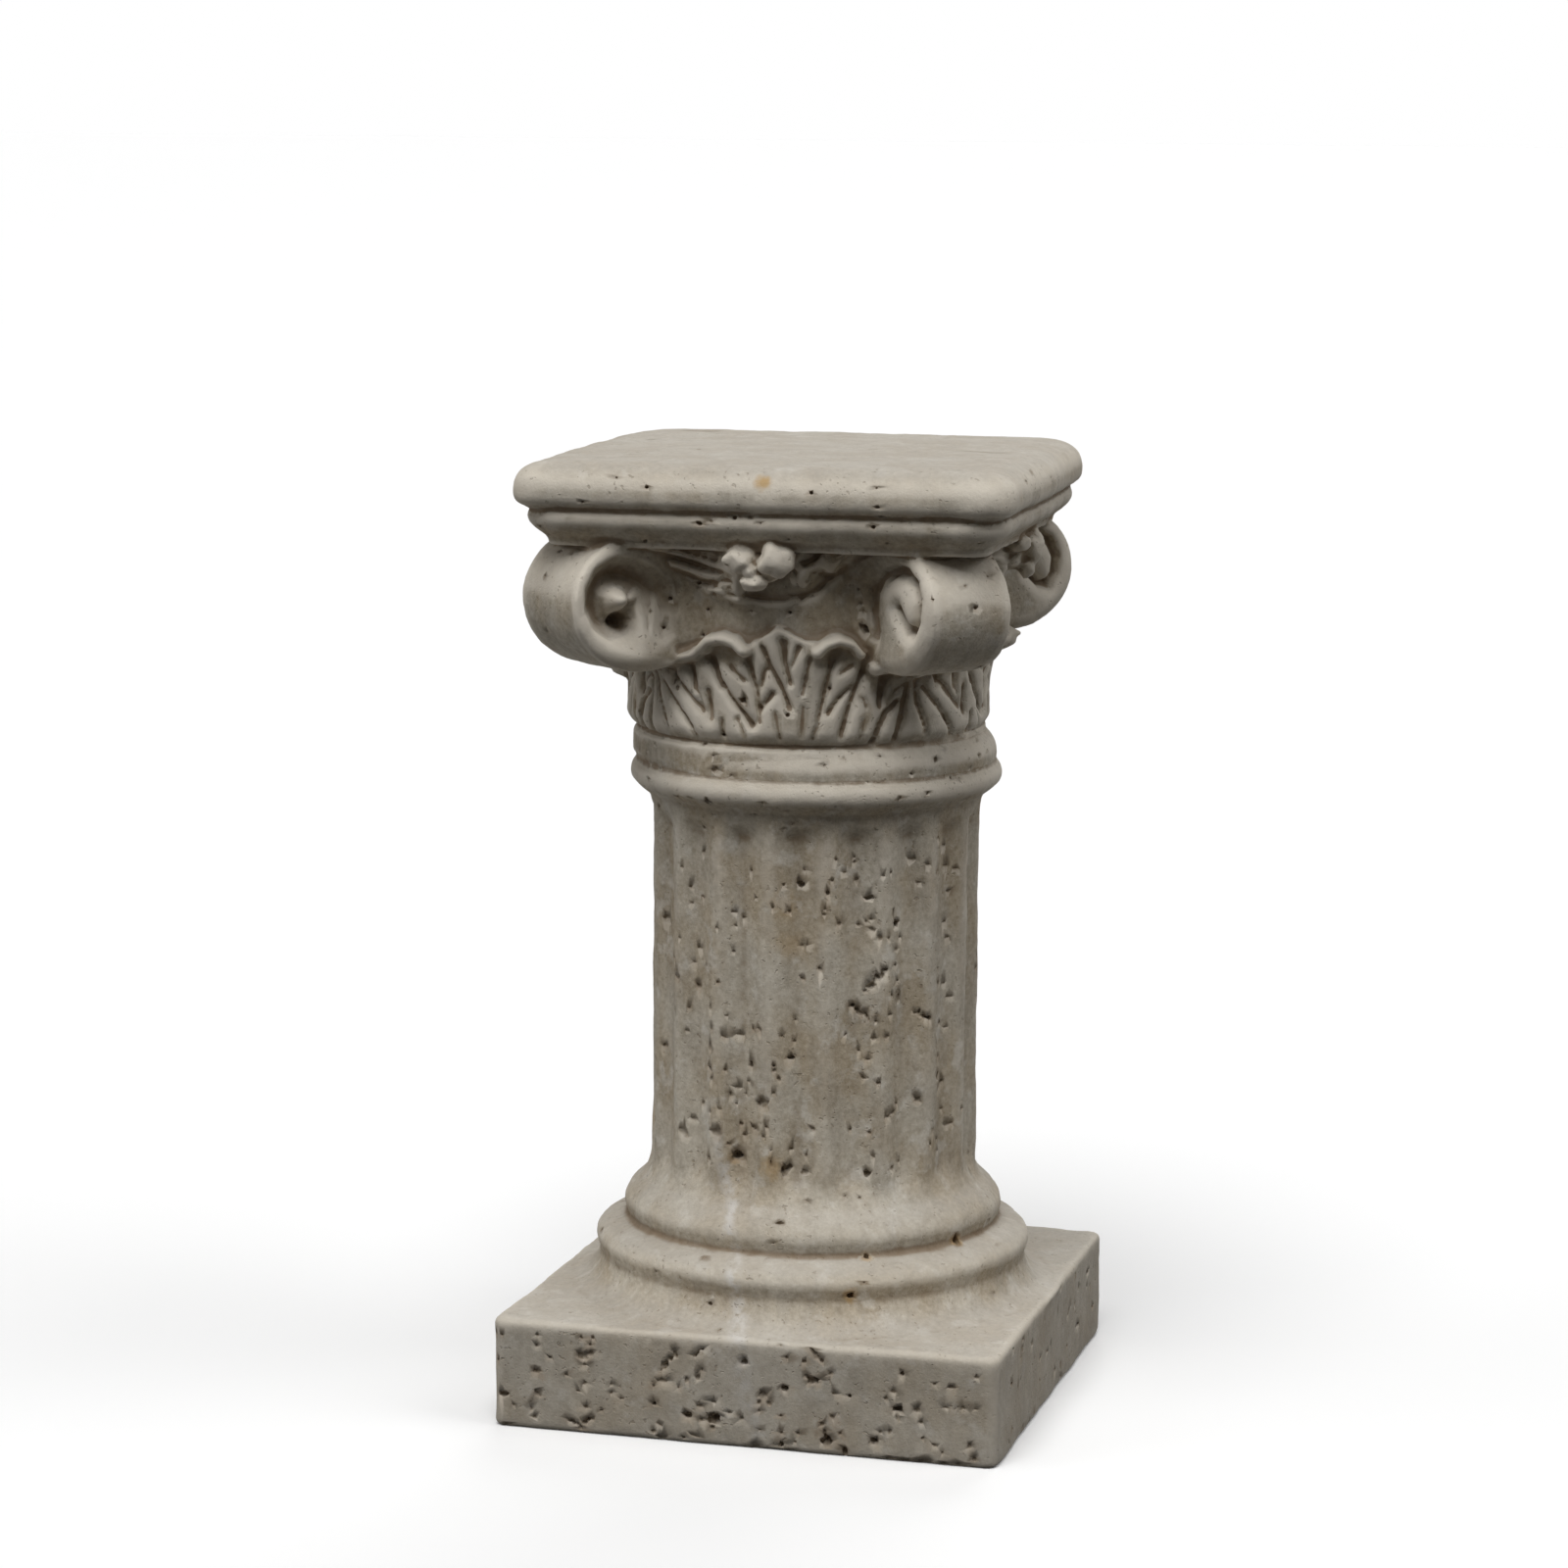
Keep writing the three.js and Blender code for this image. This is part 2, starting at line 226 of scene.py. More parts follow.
# The leaf ring: twelve upright leaves carved round the bell, their lobes parted by slanting cuts and
# their tips curled over into thick lips. Each face of the capital repeats the leaves of the front.
ring_foot = 213.6
leaf_edge = [
    (-47, 237), (-40, 239), (-30, 241.5), (-22, 243.5), (-18.5, 246.8), (-13.5, 248.2), (-9, 247),
    (-6, 244.5), (-2, 246.5), (3, 250), (7, 248), (11, 246), (15, 246), (18, 248), (21, 248.4), (25, 246.8),
    (28, 243), (31, 241.5), (37, 242), (43, 241), (47, 237),
]
leaf_cuts = [
    ([(-19.5, 240), (-17.5, 236), (-15.7, 231)], (1.7, 0.5), 2.4),
    ([(-26.6, 238), (-25.6, 230)], (1.4, 0.6), 2.0),
    ([(-20.3, 229.5), (-19.6, 221.5)], (0.7, 1.1), 1.7),
    ([(-15, 232), (-13, 228.6), (-10, 225), (-5.6, 220)], (0.6, 1.1), 2.1),
    ([(-12, 237.2), (-7.6, 233.4)], (0.9, 0.5), 1.2),
    ([(-6.6, 243.5), (-5.4, 236), (-3.6, 229), (-3, 221)], (1.2, 0.5), 1.9),
    ([(-0.8, 237.4), (-2.6, 231.6)], (0.8, 0.5), 1.4),
    ([(1.2, 229.8), (-2.6, 225)], (0.8, 0.6), 1.6),
    ([(-2, 245.5), (0.5, 238.4), (4, 231.6), (6.3, 225.6)], (0.8, 0.8), 2.2),
    ([(4.8, 246), (5, 240), (6.6, 233)], (1.3, 0.6), 2.1),
    ([(9.4, 244.4), (7, 238.4)], (0.9, 0.4), 1.5),
    ([(12.6, 241), (10.4, 230)], (0.6, 0.5), 1.4),
    ([(20.2, 243.6), (18.6, 237), (17, 230), (15.4, 222.6)], (1.3, 0.5), 1.9),
    ([(25.6, 238.8), (21.4, 236.2)], (0.7, 0.6), 1.1),
    ([(25.2, 232), (22, 229), (18.2, 224)], (0.7, 0.7), 1.6),
    ([(30.2, 240.4), (27.2, 232), (25, 226), (22.4, 217)], (1.3, 0.8), 2.3),
    ([(29, 228.6), (30.4, 225.4)], (0.6, 0.4), 0.9),
    ([(36.4, 235), (35, 225.6)], (2.4, 0.7), 2.4),
    ([(44, 232.6), (40, 230.6), (37.2, 226.4)], (0.6, 0.5), 1.0),
    ([(41, 227), (37, 223.6), (34.6, 219), (33, 214.6)], (0.7, 0.9), 2.0),
    ([(44.2, 231.4), (43, 225), (42, 220), (41, 215.6)], (0.7, 1.0), 1.8),
    ([(-36.4, 235.4), (-28.4, 228), (-22.4, 223)], (0.9, 0.7), 1.5),
    ([(-40, 231), (-33, 224), (-27, 218)], (0.9, 0.7), 1.3),
    ([(-33.5, 237), (-34.5, 230.5)], (1.2, 0.5), 1.5),
    ([(-43.5, 236), (-42, 226), (-38, 217)], (0.8, 0.7), 1.4),
    ([(-10.4, 221.8), (-8, 216.8)], (0.7, 0.5), 1.2),
    ([(-15.4, 221), (-15.6, 215.8)], (0.5, 1.1), 1.4),
    ([(10.6, 226), (10, 217)], (0.5, 0.5), 0.9),
    ([(-30, 221), (-26, 215.6)], (0.7, 0.7), 1.2),
    ([(2, 224), (3.4, 216)], (0.5, 0.6), 0.8),
    ([(29.6, 222), (28.6, 216)], (0.5, 0.6), 0.9),
    ([(15.4, 221), (13.4, 216)], (0.5, 0.5), 1.0),
    ([(-24.4, 229), (-22.6, 224.6)], (0.6, 0.5), 0.9),
]
leaf_lips = [
    ([(-20.5, 243), (-18, 245.6), (-13.5, 246.6), (-9.6, 245.6), (-7, 243)], (1.9, 1.6), 4.2),
    ([(14.8, 243), (17, 245.4), (21, 246.8), (25, 245.4), (27.4, 242.4)], (1.7, 1.9), 4.2),
    ([(-44, 236), (-32, 238.8), (-24, 240.6), (-20.5, 243)], (1.7, 1.7), 3.6),
    ([(32.6, 238.6), (37, 239), (42, 238.2)], (2.7, 2.7), 5.4),
    ([(-1, 245.6), (3.2, 248.8), (7, 247)], (1.0, 1.0), 1.4),
]
leaf_hollows = [((-13.6, 240.6), (5.4, 3.4), -1.9), ((20.6, 240.8), (5.0, 3.2), -1.9)]
ring_radius = 57
ring_low = 205
ring_high = 253
ring_cell = 0.45
leaf_cut_depth = 2.0
leaf_cut_width = 0.95
leaf_tips = [((-75, 230.5), (2.6, 2.4), 5.0), ((104, 240), (3.6, 3.2), 6.4)]
leaves = bmesh.new()
bmesh.ops.create_cone(
    leaves, cap_ends=True, segments=int(2 * math.pi * ring_radius / ring_cell), radius1=ring_radius,
    radius2=ring_radius, depth=ring_high - ring_low,
    matrix=Matrix.Translation((0, 0, (ring_low + ring_high) / 2)),
)
uprights = [edge for edge in leaves.edges if abs(edge.verts[0].co.z - edge.verts[1].co.z) > 1]
rows = int((ring_high - ring_low) / ring_cell)
bmesh.ops.subdivide_edges(leaves, edges=uprights, cuts=rows, use_grid_fill=True)
leaves = mesh_of(leaves)
points = points_of(leaves)
outside = np.hypot(points[:, 0], points[:, 1]) > 56
angle = np.degrees(np.arctan2(points[outside, 0], -points[outside, 1]))
height = points[outside, 2]
face_angle = (angle + 45) % 90 - 45
across = np.radians(face_angle) * ring_radius
edge_angles, edge_heights = zip(*leaf_edge)
edge = np.interp(face_angle, edge_angles, edge_heights)
reach = 55.1 + 1.9 * ramp(height, ring_foot, ring_foot + 4.5) + 2.9 * ramp(height, 224, 246) ** 1.5
reach -= 1.6 * np.exp(-(((height - ring_foot + 0.4) / 0.9) ** 2))
for path, widths, depth in leaf_cuts:
    path = [(math.radians(a) * ring_radius, z) for a, z in path]
    widths = [leaf_cut_width * width for width in widths]
    reach -= leaf_cut_depth * stroke(across, height, path, widths, depth)
for centre, size, depth in leaf_hollows:
    centre = (math.radians(centre[0]) * ring_radius, centre[1])
    reach += mound(across, height, centre, size, depth)
for path, widths, depth in leaf_lips:
    path = [(math.radians(a) * ring_radius, z) for a, z in path]
    ridge = np.zeros_like(across)
    for start, end in zip(path, path[1:]):
        x, y = end[0] - start[0], end[1] - start[1]
        share = np.clip(((across - start[0]) * x + (height - start[1]) * y) / (x * x + y * y), 0, 1)
        distance = np.hypot(across - start[0] - share * x, height - start[1] - share * y)
        round_top = np.sqrt(np.clip(1 - (distance / (1.2 * widths[0])) ** 2, 0, 1))
        ridge = np.maximum(ridge, round_top)
    reach = np.where(ridge > 0, np.maximum(reach, 57.6 + 1.25 * depth * ridge), reach)
reach = reach + (56.0 - reach) * ramp(height, edge, edge + 1.4)
for centre, size, proud in leaf_tips:
    along = np.radians((angle - centre[0] + 180) % 360 - 180) * ring_radius
    reach += mound(along, height, (0, centre[1]), size, proud)
points[outside, :2] *= (reach / ring_radius)[:, None]
move_points(leaves, points)
capital_forms.append(leaves)

# Scrolls: under each corner of the abacus the band of the capital rolls up on a level axis. Both ends
# of the roll are dished, and a channel is cut in them, winding from the bell over the top to the eye.
scroll_half_depth = 24
scroll_taper = 0.058
scroll_round = 3.2
# Each scroll, from the front right round by the back, is (distance of its axis, height, half height,
# half width).
scroll_sizes = [
    (67.5, 257, 20.4, 17.4), (67.5, 260, 20, 17.4), (68.5, 257, 20.8, 18.2), (70, 256.8, 21.4, 20.2),
]
left_channel = [
    (-5.5, -7.5), (-6.2, -1.5), (-4.4, 3.2), (-0.8, 6.8), (4.2, 9.2), (9.4, 9.8), (13.8, 8), (16.2, 4.2),
    (16.4, -0.6), (14.6, -4.8), (11.4, -6.8), (8, -6.2),
]
right_channel = [
    (-5.9, -8), (-7.2, -1.2), (-6.8, 4.8), (-3.2, 9.4), (3.1, 12.0), (9.4, 11.6), (14.4, 8.6), (16.6, 3.6),
    (16.2, -1.7), (13.8, -5.6), (10.6, -5.0), (7.4, -2.2), (5.2, 0.4),
]
# Each hand of channel is (path, half widths, depth, share of it at the start, eye, its half size, its
# depth). The left one winds in a bowl round a small knob.
channels = {
    1: (left_channel, (5.2, 4.2), 6.6, 0.5, (5.8, -5.4), (3.0, 2.6), 5.5),
    -1: (right_channel, (2.5, 1.7), 5.6, 0.5, (13.0, -5.0), (1.7, 1.5), 1.2),
}
bowl = ((7.4, 0.8), (12, 11.5), 4.6)
knob = ((8.8, 1.4), (3.2, 3.0), -5.6)


def end_cut(out, up, hand):
    """How deep a scroll's end is carved, out from its axis and up from it."""
    path, widths, depth, start_share, eye, eye_size, eye_depth = channels[hand]
    cut = stroke(out, up, path, widths, depth, 0.6, start_share)
    cut += mound(out, up, eye, eye_size, eye_depth)
    return cut + mound(out, up, *bowl) + mound(out, up, *knob) if hand > 0 else cut


cells = 76
roll = bmesh.new()
bmesh.ops.create_grid(roll, x_segments=cells, y_segments=cells, size=1)
for vert in roll.verts:
    x, y = vert.co.x, vert.co.y
    vert.co.x = x * math.sqrt(1 - y * y / 2)
    vert.co.y = y * math.sqrt(1 - x * x / 2)
lid = bmesh.ops.extrude_face_region(roll, geom=roll.faces[:], use_keep_orig=True)
lid_points = [part for part in lid["geom"] if isinstance(part, bmesh.types.BMVert)]
bmesh.ops.translate(roll, verts=lid_points, vec=(0, 0, 1))
walls = [edge for edge in roll.edges if abs(edge.verts[0].co.z - edge.verts[1].co.z) > 0.5]
bmesh.ops.subdivide_edges(roll, edges=walls, cuts=50, use_grid_fill=True)
bmesh.ops.recalc_face_normals(roll, faces=roll.faces)
roll = mesh_of(roll)
plain_roll = points_of(roll)
for corner, sizes in enumerate(scroll_sizes):
    scroll_centre, scroll_height, scroll_half_height, scroll_half_width = sizes
    points = plain_roll.copy()
    rim = np.hypot(points[:, 0], points[:, 1])
    out = points[:, 0] * scroll_half_depth
    up = points[:, 1] * scroll_half_height
    across = 2 * points[:, 2] - 1
    width = scroll_half_width - scroll_taper * (scroll_half_depth - out)
    for end in channels:
        cut = end_cut(out, up, end)
        cut += scroll_round * np.clip((rim - 0.74) / 0.26, 0, 1) ** 2 * ramp(out, -14, 2)
        width = np.where(across * end > 0, width - cut, width)
    swell = 1 - 0.012 * across**2
    local = np.stack([width * across, -(scroll_centre + out * swell), scroll_height + up * swell], 1)
    turn = Matrix.Rotation(math.radians(45 + 90 * corner), 3, "Z")
    scroll = roll.copy()
    move_points(scroll, local @ np.array(turn).T)
    capital_forms.append(scroll)

# Faces of the bell: from the middle of each side two hollow cheeks are carved out into the scrolls.
# Their upper edges are the stems of the scrolls, and leafy sprays lie over them beside the flower.
panel_half = 42
panel_low = 238
panel_high = 284
panel_cell = 0.5
cheek_blend = 9.5
stem_line = [
    (-42, 274), (-36, 270.8), (-31, 267.4), (-25, 264.6), (-17, 261.4), (-9, 258.6), (0, 257.4), (5, 257.6),
    (9.6, 259.2), (14.6, 261.7), (17.6, 264.7), (20.6, 266.7), (23.6, 270.7), (29.5, 272.9), (35.5, 275.7),
    (42, 278.4),
]
spray_blades = [
    ([(-8, 271), (-20, 275.6), (-36, 280)], (2.6, 2.0), 6.0),
    ([(-8, 267), (-20, 270.4), (-36, 275)], (3.0, 1.8), 6.6),
    ([(-9, 263), (-18, 265), (-30, 268.6)], (2.8, 1.4), 5.6),
    ([(-9, 259.8), (-18, 261)], (2.0, 1.2), 4.0),
    ([(9, 271), (13.4, 276), (17, 282)], (3.2, 2.4), 6.2),
    ([(10, 265.6), (15, 270.4), (20, 275), (28, 279.6)], (3.2, 2.2), 6.6),
    ([(19, 268.8), (27, 274.4), (40, 278.4)], (2.2, 1.8), 5.4),
]
spray_cuts = [
    ([(18.2, 280), (16.6, 275), (15, 272), (11.4, 270.2)], (1.1, 0.7), 1.9),
    ([(14.4, 267.4), (18, 266.2)], (0.7, 0.7), 1.1),
    ([(9, 268), (9.2, 263)], (0.7, 0.6), 1.0),
    ([(21, 279.4), (30, 279.2), (38, 277.6)], (0.7, 0.6), 1.2),
    ([(20.4, 275.6), (26, 275), (33, 276.4)], (0.7, 0.5), 0.8),
    ([(-10, 259.9), (-17.6, 260.2)], (0.8, 0.5), 1.3),
    ([(-11.6, 264.4), (-20.4, 263.4)], (0.8, 0.5), 1.6),
    ([(-14, 266.8), (-22, 268.4), (-31, 270.6), (-40, 273.4)], (0.8, 0.6), 1.5),
    ([(-16, 270), (-24, 271.8), (-35, 275)], (0.9, 0.6), 1.5),
    ([(-15.4, 272.6), (-21.6, 276.4)], (0.8, 0.6), 1.3),
    ([(-26, 274.4), (-31, 278)], (0.7, 0.5), 1.0),
]
face_panel = bmesh.new()
wide = int(2 * panel_half / panel_cell)
tall = int((panel_high - panel_low) / panel_cell)
bmesh.ops.create_grid(face_panel, x_segments=wide, y_segments=tall, size=1)
backs = bmesh.ops.extrude_face_region(face_panel, geom=face_panel.faces[:], use_keep_orig=True)
back_points = [part for part in backs["geom"] if isinstance(part, bmesh.types.BMVert)]
bmesh.ops.translate(face_panel, verts=back_points, vec=(0, 0, 1))
bmesh.ops.recalc_face_normals(face_panel, faces=face_panel.faces)
face_panel = mesh_of(face_panel)
points = points_of(face_panel)
across = points[:, 0] * panel_half
height = panel_low + (points[:, 1] + 1) / 2 * (panel_high - panel_low)
side = np.abs(across)
bell = np.sqrt(57.6**2 - across**2)
stem_across, stem_up = zip(*stem_line)
stem = np.interp(across, stem_across, stem_up)
above = ramp(height, stem, stem + 1.2)
relief = 1.4 * np.exp(-np.clip(stem - height, 0, None) / 3.5) * (1 - above) - 0.8 * above
relief -= stroke(across, height, stem_line[:5], (1.2, 0.8), 3.0)
relief -= stroke(across, height, stem_line[8:], (1.4, 1.6), 3.6)
for path, widths, proud in spray_blades:
    relief += stroke(across, height, path, widths, proud, 0.5)
for path, widths, cut in spray_cuts:
    relief -= stroke(across, height, path, widths, cut) * 2.6
relief -= 3.0 * ramp(240 - height, -6, 2) + 6 * ramp(side, 36, 41)
front = points[:, 2] < 0.5
for quarter in range(4):
    depth = bell.copy()
    for hand, corner in ((-1, quarter), (1, (quarter + 3) % 4)):
        centre, axis_height, _, half_width = scroll_sizes[corner]
        end_face = side + 22
        for _ in range(3):
            out = (side + end_face) / math.sqrt(2) - centre
            end_face = side + math.sqrt(2) * (half_width - scroll_taper * (scroll_half_depth - out))
        mix = np.clip(0.5 + 0.5 * (end_face - bell) / cheek_blend, 0, 1)
        swept = bell * (1 - mix) + end_face * mix + cheek_blend * mix * (1 - mix)
        swept -= math.sqrt(2) * end_cut(out, height - axis_height, hand) * ramp(side, 24, 31)
        depth = np.where(across * hand < 0, swept, depth)
    place = np.stack([across, -np.where(front, depth + relief, 30), height], 1)
    turn = Matrix.Rotation(math.radians(90 * quarter), 3, "Z")
    panel = face_panel.copy()
    move_points(panel, place @ np.array(turn).T)
    capital_forms.append(panel)

# Bell: the plain core of the capital, of the same stone, behind the faces and the leaves. Nothing of
# it shows but what the cuts lay bare.
bell_core = mesh_of(turned([(0, 210), (52, 210), (52, 284), (0, 284)], 180))
capital_forms.append(bell_core)


# Flowers: in the middle of each face a knob, a side petal and a hanging petal stand out on a short
# neck, carved from the block. Their lumps are (centre, half sizes).
def lump(centre, size, turn):
    form = bmesh.new()
    bmesh.ops.create_icosphere(form, subdivisions=4, radius=1)
    for vert in form.verts:
        vert.co *= 1 + 0.30 * noise.noise(vert.co * 1.5 + Vector(centre))
    bmesh.ops.scale(form, verts=form.verts, vec=size)
    bmesh.ops.translate(form, verts=form.verts, vec=centre)
    bmesh.ops.rotate(form, verts=form.verts, cent=(0, 0, 0), matrix=turn)
    return mesh_of(form)


open_flower = [
    ((4.8, -69, 271.8), (5.3, 4.6, 5.3)),
    ((-6.6, -68.6, 271.8), (4.8, 4.4, 4.0)),
    ((-3.4, -68.6, 268.6), (2.4, 3.4, 3.2)),
    ((-2.2, -68.4, 264.8), (4.0, 3.4, 2.3)),
    ((0.4, -63, 269.5), (5.5, 7, 5)),
]
closed_flower = [
    ((1.4, -69.5, 270.8), (4.8, 4.6, 5.2)),
    ((4.6, -69.8, 271.6), (2.6, 3.2, 2.2)),
    ((0.8, -69.6, 276.2), (2.2, 3.0, 3.4)),
    ((1.2, -68.6, 265.6), (2.7, 3.0, 4.4)),
    ((-7.4, -67.6, 272.8), (3.6, 4.0, 3.0)),
    ((-0.4, -63, 270), (6.5, 7, 6)),
]
for quarter in range(4):
    turn = Matrix.Rotation(math.radians(90 * quarter), 3, "Z")
    for centre, size in closed_flower if quarter % 2 else open_flower:
        capital_forms.append(lump(centre, size, turn))

# Abacus: the square slab on top, cut from the same block, with a rounded upper edge, over a moulding
# that leans out.
abacus_half = 76.9
abacus_shift = (-0.4, 1.0, 0)
abacus_corners = (19, 25, 10, 13)
abacus_bow = 1.2
moulding_corners = (22, 27, 17, 18)
moulding_curve = [
    (68, 274), (68.6, 276.2), (71.2, 278.2), (73.6, 280.6), (74.3, 282.8), (73.7, 284.8), (73.0, 285.6),
    (73.0, 287),
]
slab_curve = [
    (72.6, 285.4), (73.9, 286.2), (75.4, 286.8), (76.6, 288.4), (76.9, 290.6), (76.6, 293.2), (75.5, 295.8),
    (73.1, 298.1), (69.2, 299.5), (64, 300),
]
for curve, corners in ((moulding_curve, moulding_corners), (slab_curve, abacus_corners)):
    line = smooth_line(curve, 3)
    course = mesh_of(turned([(0, line[0][1])] + line + [(0, line[-1][1])], 360))
    squared(course, abacus_half, corners, abacus_bow)
    course.transform(Matrix.Translation(abacus_shift))
    capital_forms.append(course)

for form in capital_forms:
    form.transform(Matrix.Translation((capital_x, capital_y, 0)) @ Matrix.Rotation(capital_turn, 4, "Z"))
stone_forms += capital_forms


# The block: all the forms are one stone, so they are fused into one mesh. It is worn a little and
# uneven all over, as stone worked by hand is.
def shown(name, mesh):
    piece = bpy.data.objects.new(name, mesh)
    bpy.context.scene.collection.objects.link(piece)
    return piece


def settled(piece):
    """The piece's mesh with its modifiers applied."""
    graph = bpy.context.evaluated_depsgraph_get()
    mesh = bpy.data.meshes.new_from_object(piece.evaluated_get(graph))
    piece.modifiers.clear()
    piece.data = mesh
    return mesh


def joined(forms):
    """Several meshes in one, put together in groups, which is quicker for many small ones."""
    while len(forms) > 1:
        groups = []
        for first in range(0, len(forms), 40):
            group = bmesh.new()
            for form in forms[first:first + 40]:
                group.from_mesh(form)
            groups.append(mesh_of(group))
        forms = groups
    return forms[0]


column = shown("travertine_column_stone", joined(stone_forms))
fuse = column.modifiers.new("fuse", "REMESH")
fuse.mode = "VOXEL"
fuse.voxel_size = 0.62
settled(column)
wear = column.modifiers.new("wear", "SMOOTH")
wear.factor = 0.5
wear.iterations = 2
for wave_name, wave_length, wave_height in (("hand", 26, 1.1), ("tool", 7, 0.42)):
    wave = bpy.data.textures.new(wave_name, "CLOUDS")
    wave.noise_scale = wave_length
    wave.noise_depth = 2
    uneven = column.modifiers.new(wave_name, "DISPLACE")
    uneven.texture = wave
    uneven.strength = wave_height
    uneven.mid_level = 0.5
settled(column)
points = points_of(column.data)
stone_top = 300
points[:, 2] = np.clip(points[:, 2], 0, stone_top)
move_points(column.data, points)


# Pits: the open pores of the travertine, laid bare by the saw and the chisel. The larger ones of the
# front are where they are on the real stone, and finer ones are strewn over every side.
def seen_at(right, down):
    """Where the photograph's camera sees the stone at a pixel of the 1600 frame."""
    photo_size = 1600
    lens_pixels = camera_data.lens / camera_data.sensor_width * photo_size
    ray = Vector(((right - photo_size / 2) / lens_pixels, (photo_size / 2 - down) / lens_pixels, -1))
    ray = camera.matrix_world.to_3x3() @ ray
    place, outward, _, _ = stone_tree.ray_cast(camera_place / stone_scale, ray.normalized())
    return place, outward


def met(start, end):
    """Where the line from one place towards another first meets the stone."""
    start, end = Vector(start), Vector(end)
    place, outward, _, _ = stone_tree.ray_cast(start, (end - start).normalized())
    return place, outward


pit_forms = []
pit_dice = random.Random(7)


def pit(place, outward, wide, tall, tilt=0, deep=False):
    """One pore: an uneven ball sunk in the surface, of a width and a height, tilted up to the right."""
    side = Vector((0, 0, 1)).cross(outward)
    side = side.normalized() if side.length > 0.2 else Vector((1, 0, 0))
    side = Matrix.Rotation(-math.radians(tilt), 3, outward) @ side
    up = outward.cross(side)
    least = min(wide, tall)
    depth = 0.75 * least + 0.5 if deep else 0.26 * least + 0.22
    rough = Vector([pit_dice.uniform(0, 50) for _ in range(3)])
    ball = bmesh.new()
    bmesh.ops.create_icosphere(ball, subdivisions=3 if least > 2.2 else 2, radius=1)
    for vert in ball.verts:
        way = vert.co * (1 + 0.75 * noise.noise(vert.co * 1.9 + rough))
        across, along, out = way.x * wide * 0.5, way.y * tall * 0.5, (way.z - 0.1) * depth
        vert.co = place + side * across + up * along + outward * out
    pit_forms.append(mesh_of(ball))


def gash(path, wide, find):
    """A crooked slot: pores in a row along a path of places, each found on the stone."""
    for start, end in zip(path, path[1:]):
        steps = max(2, int(math.dist(start, end) / (0.45 * wide)))
        for step in range(steps + 1):
            share = step / steps
            spot = [a + (b - a) * share + pit_dice.uniform(-0.35, 0.35) * wide for a, b in zip(start, end)]
            pore_wide = wide * pit_dice.uniform(0.6, 1.3)
            pore_tall = wide * pit_dice.uniform(0.6, 1.3)
            pit(*find(*spot), pore_wide, pore_tall, 0, step % 2)


def on_shaft(angle, height):
    """The place on the shaft at an angle from the front, in degrees towards the right."""
    angle = math.radians(angle)
    start = (shaft_x + 90 * math.sin(angle), shaft_y - 90 * math.cos(angle), height)
    return met(start, (shaft_x, shaft_y, height))


def on_front(across, height):
    return met((across, -120, height), (across, 0, height))


def on_right(along, height):
    return met((120, along, height), (0, along, height))


stone_tree = BVHTree.FromObject(column, bpy.context.evaluated_depsgraph_get())

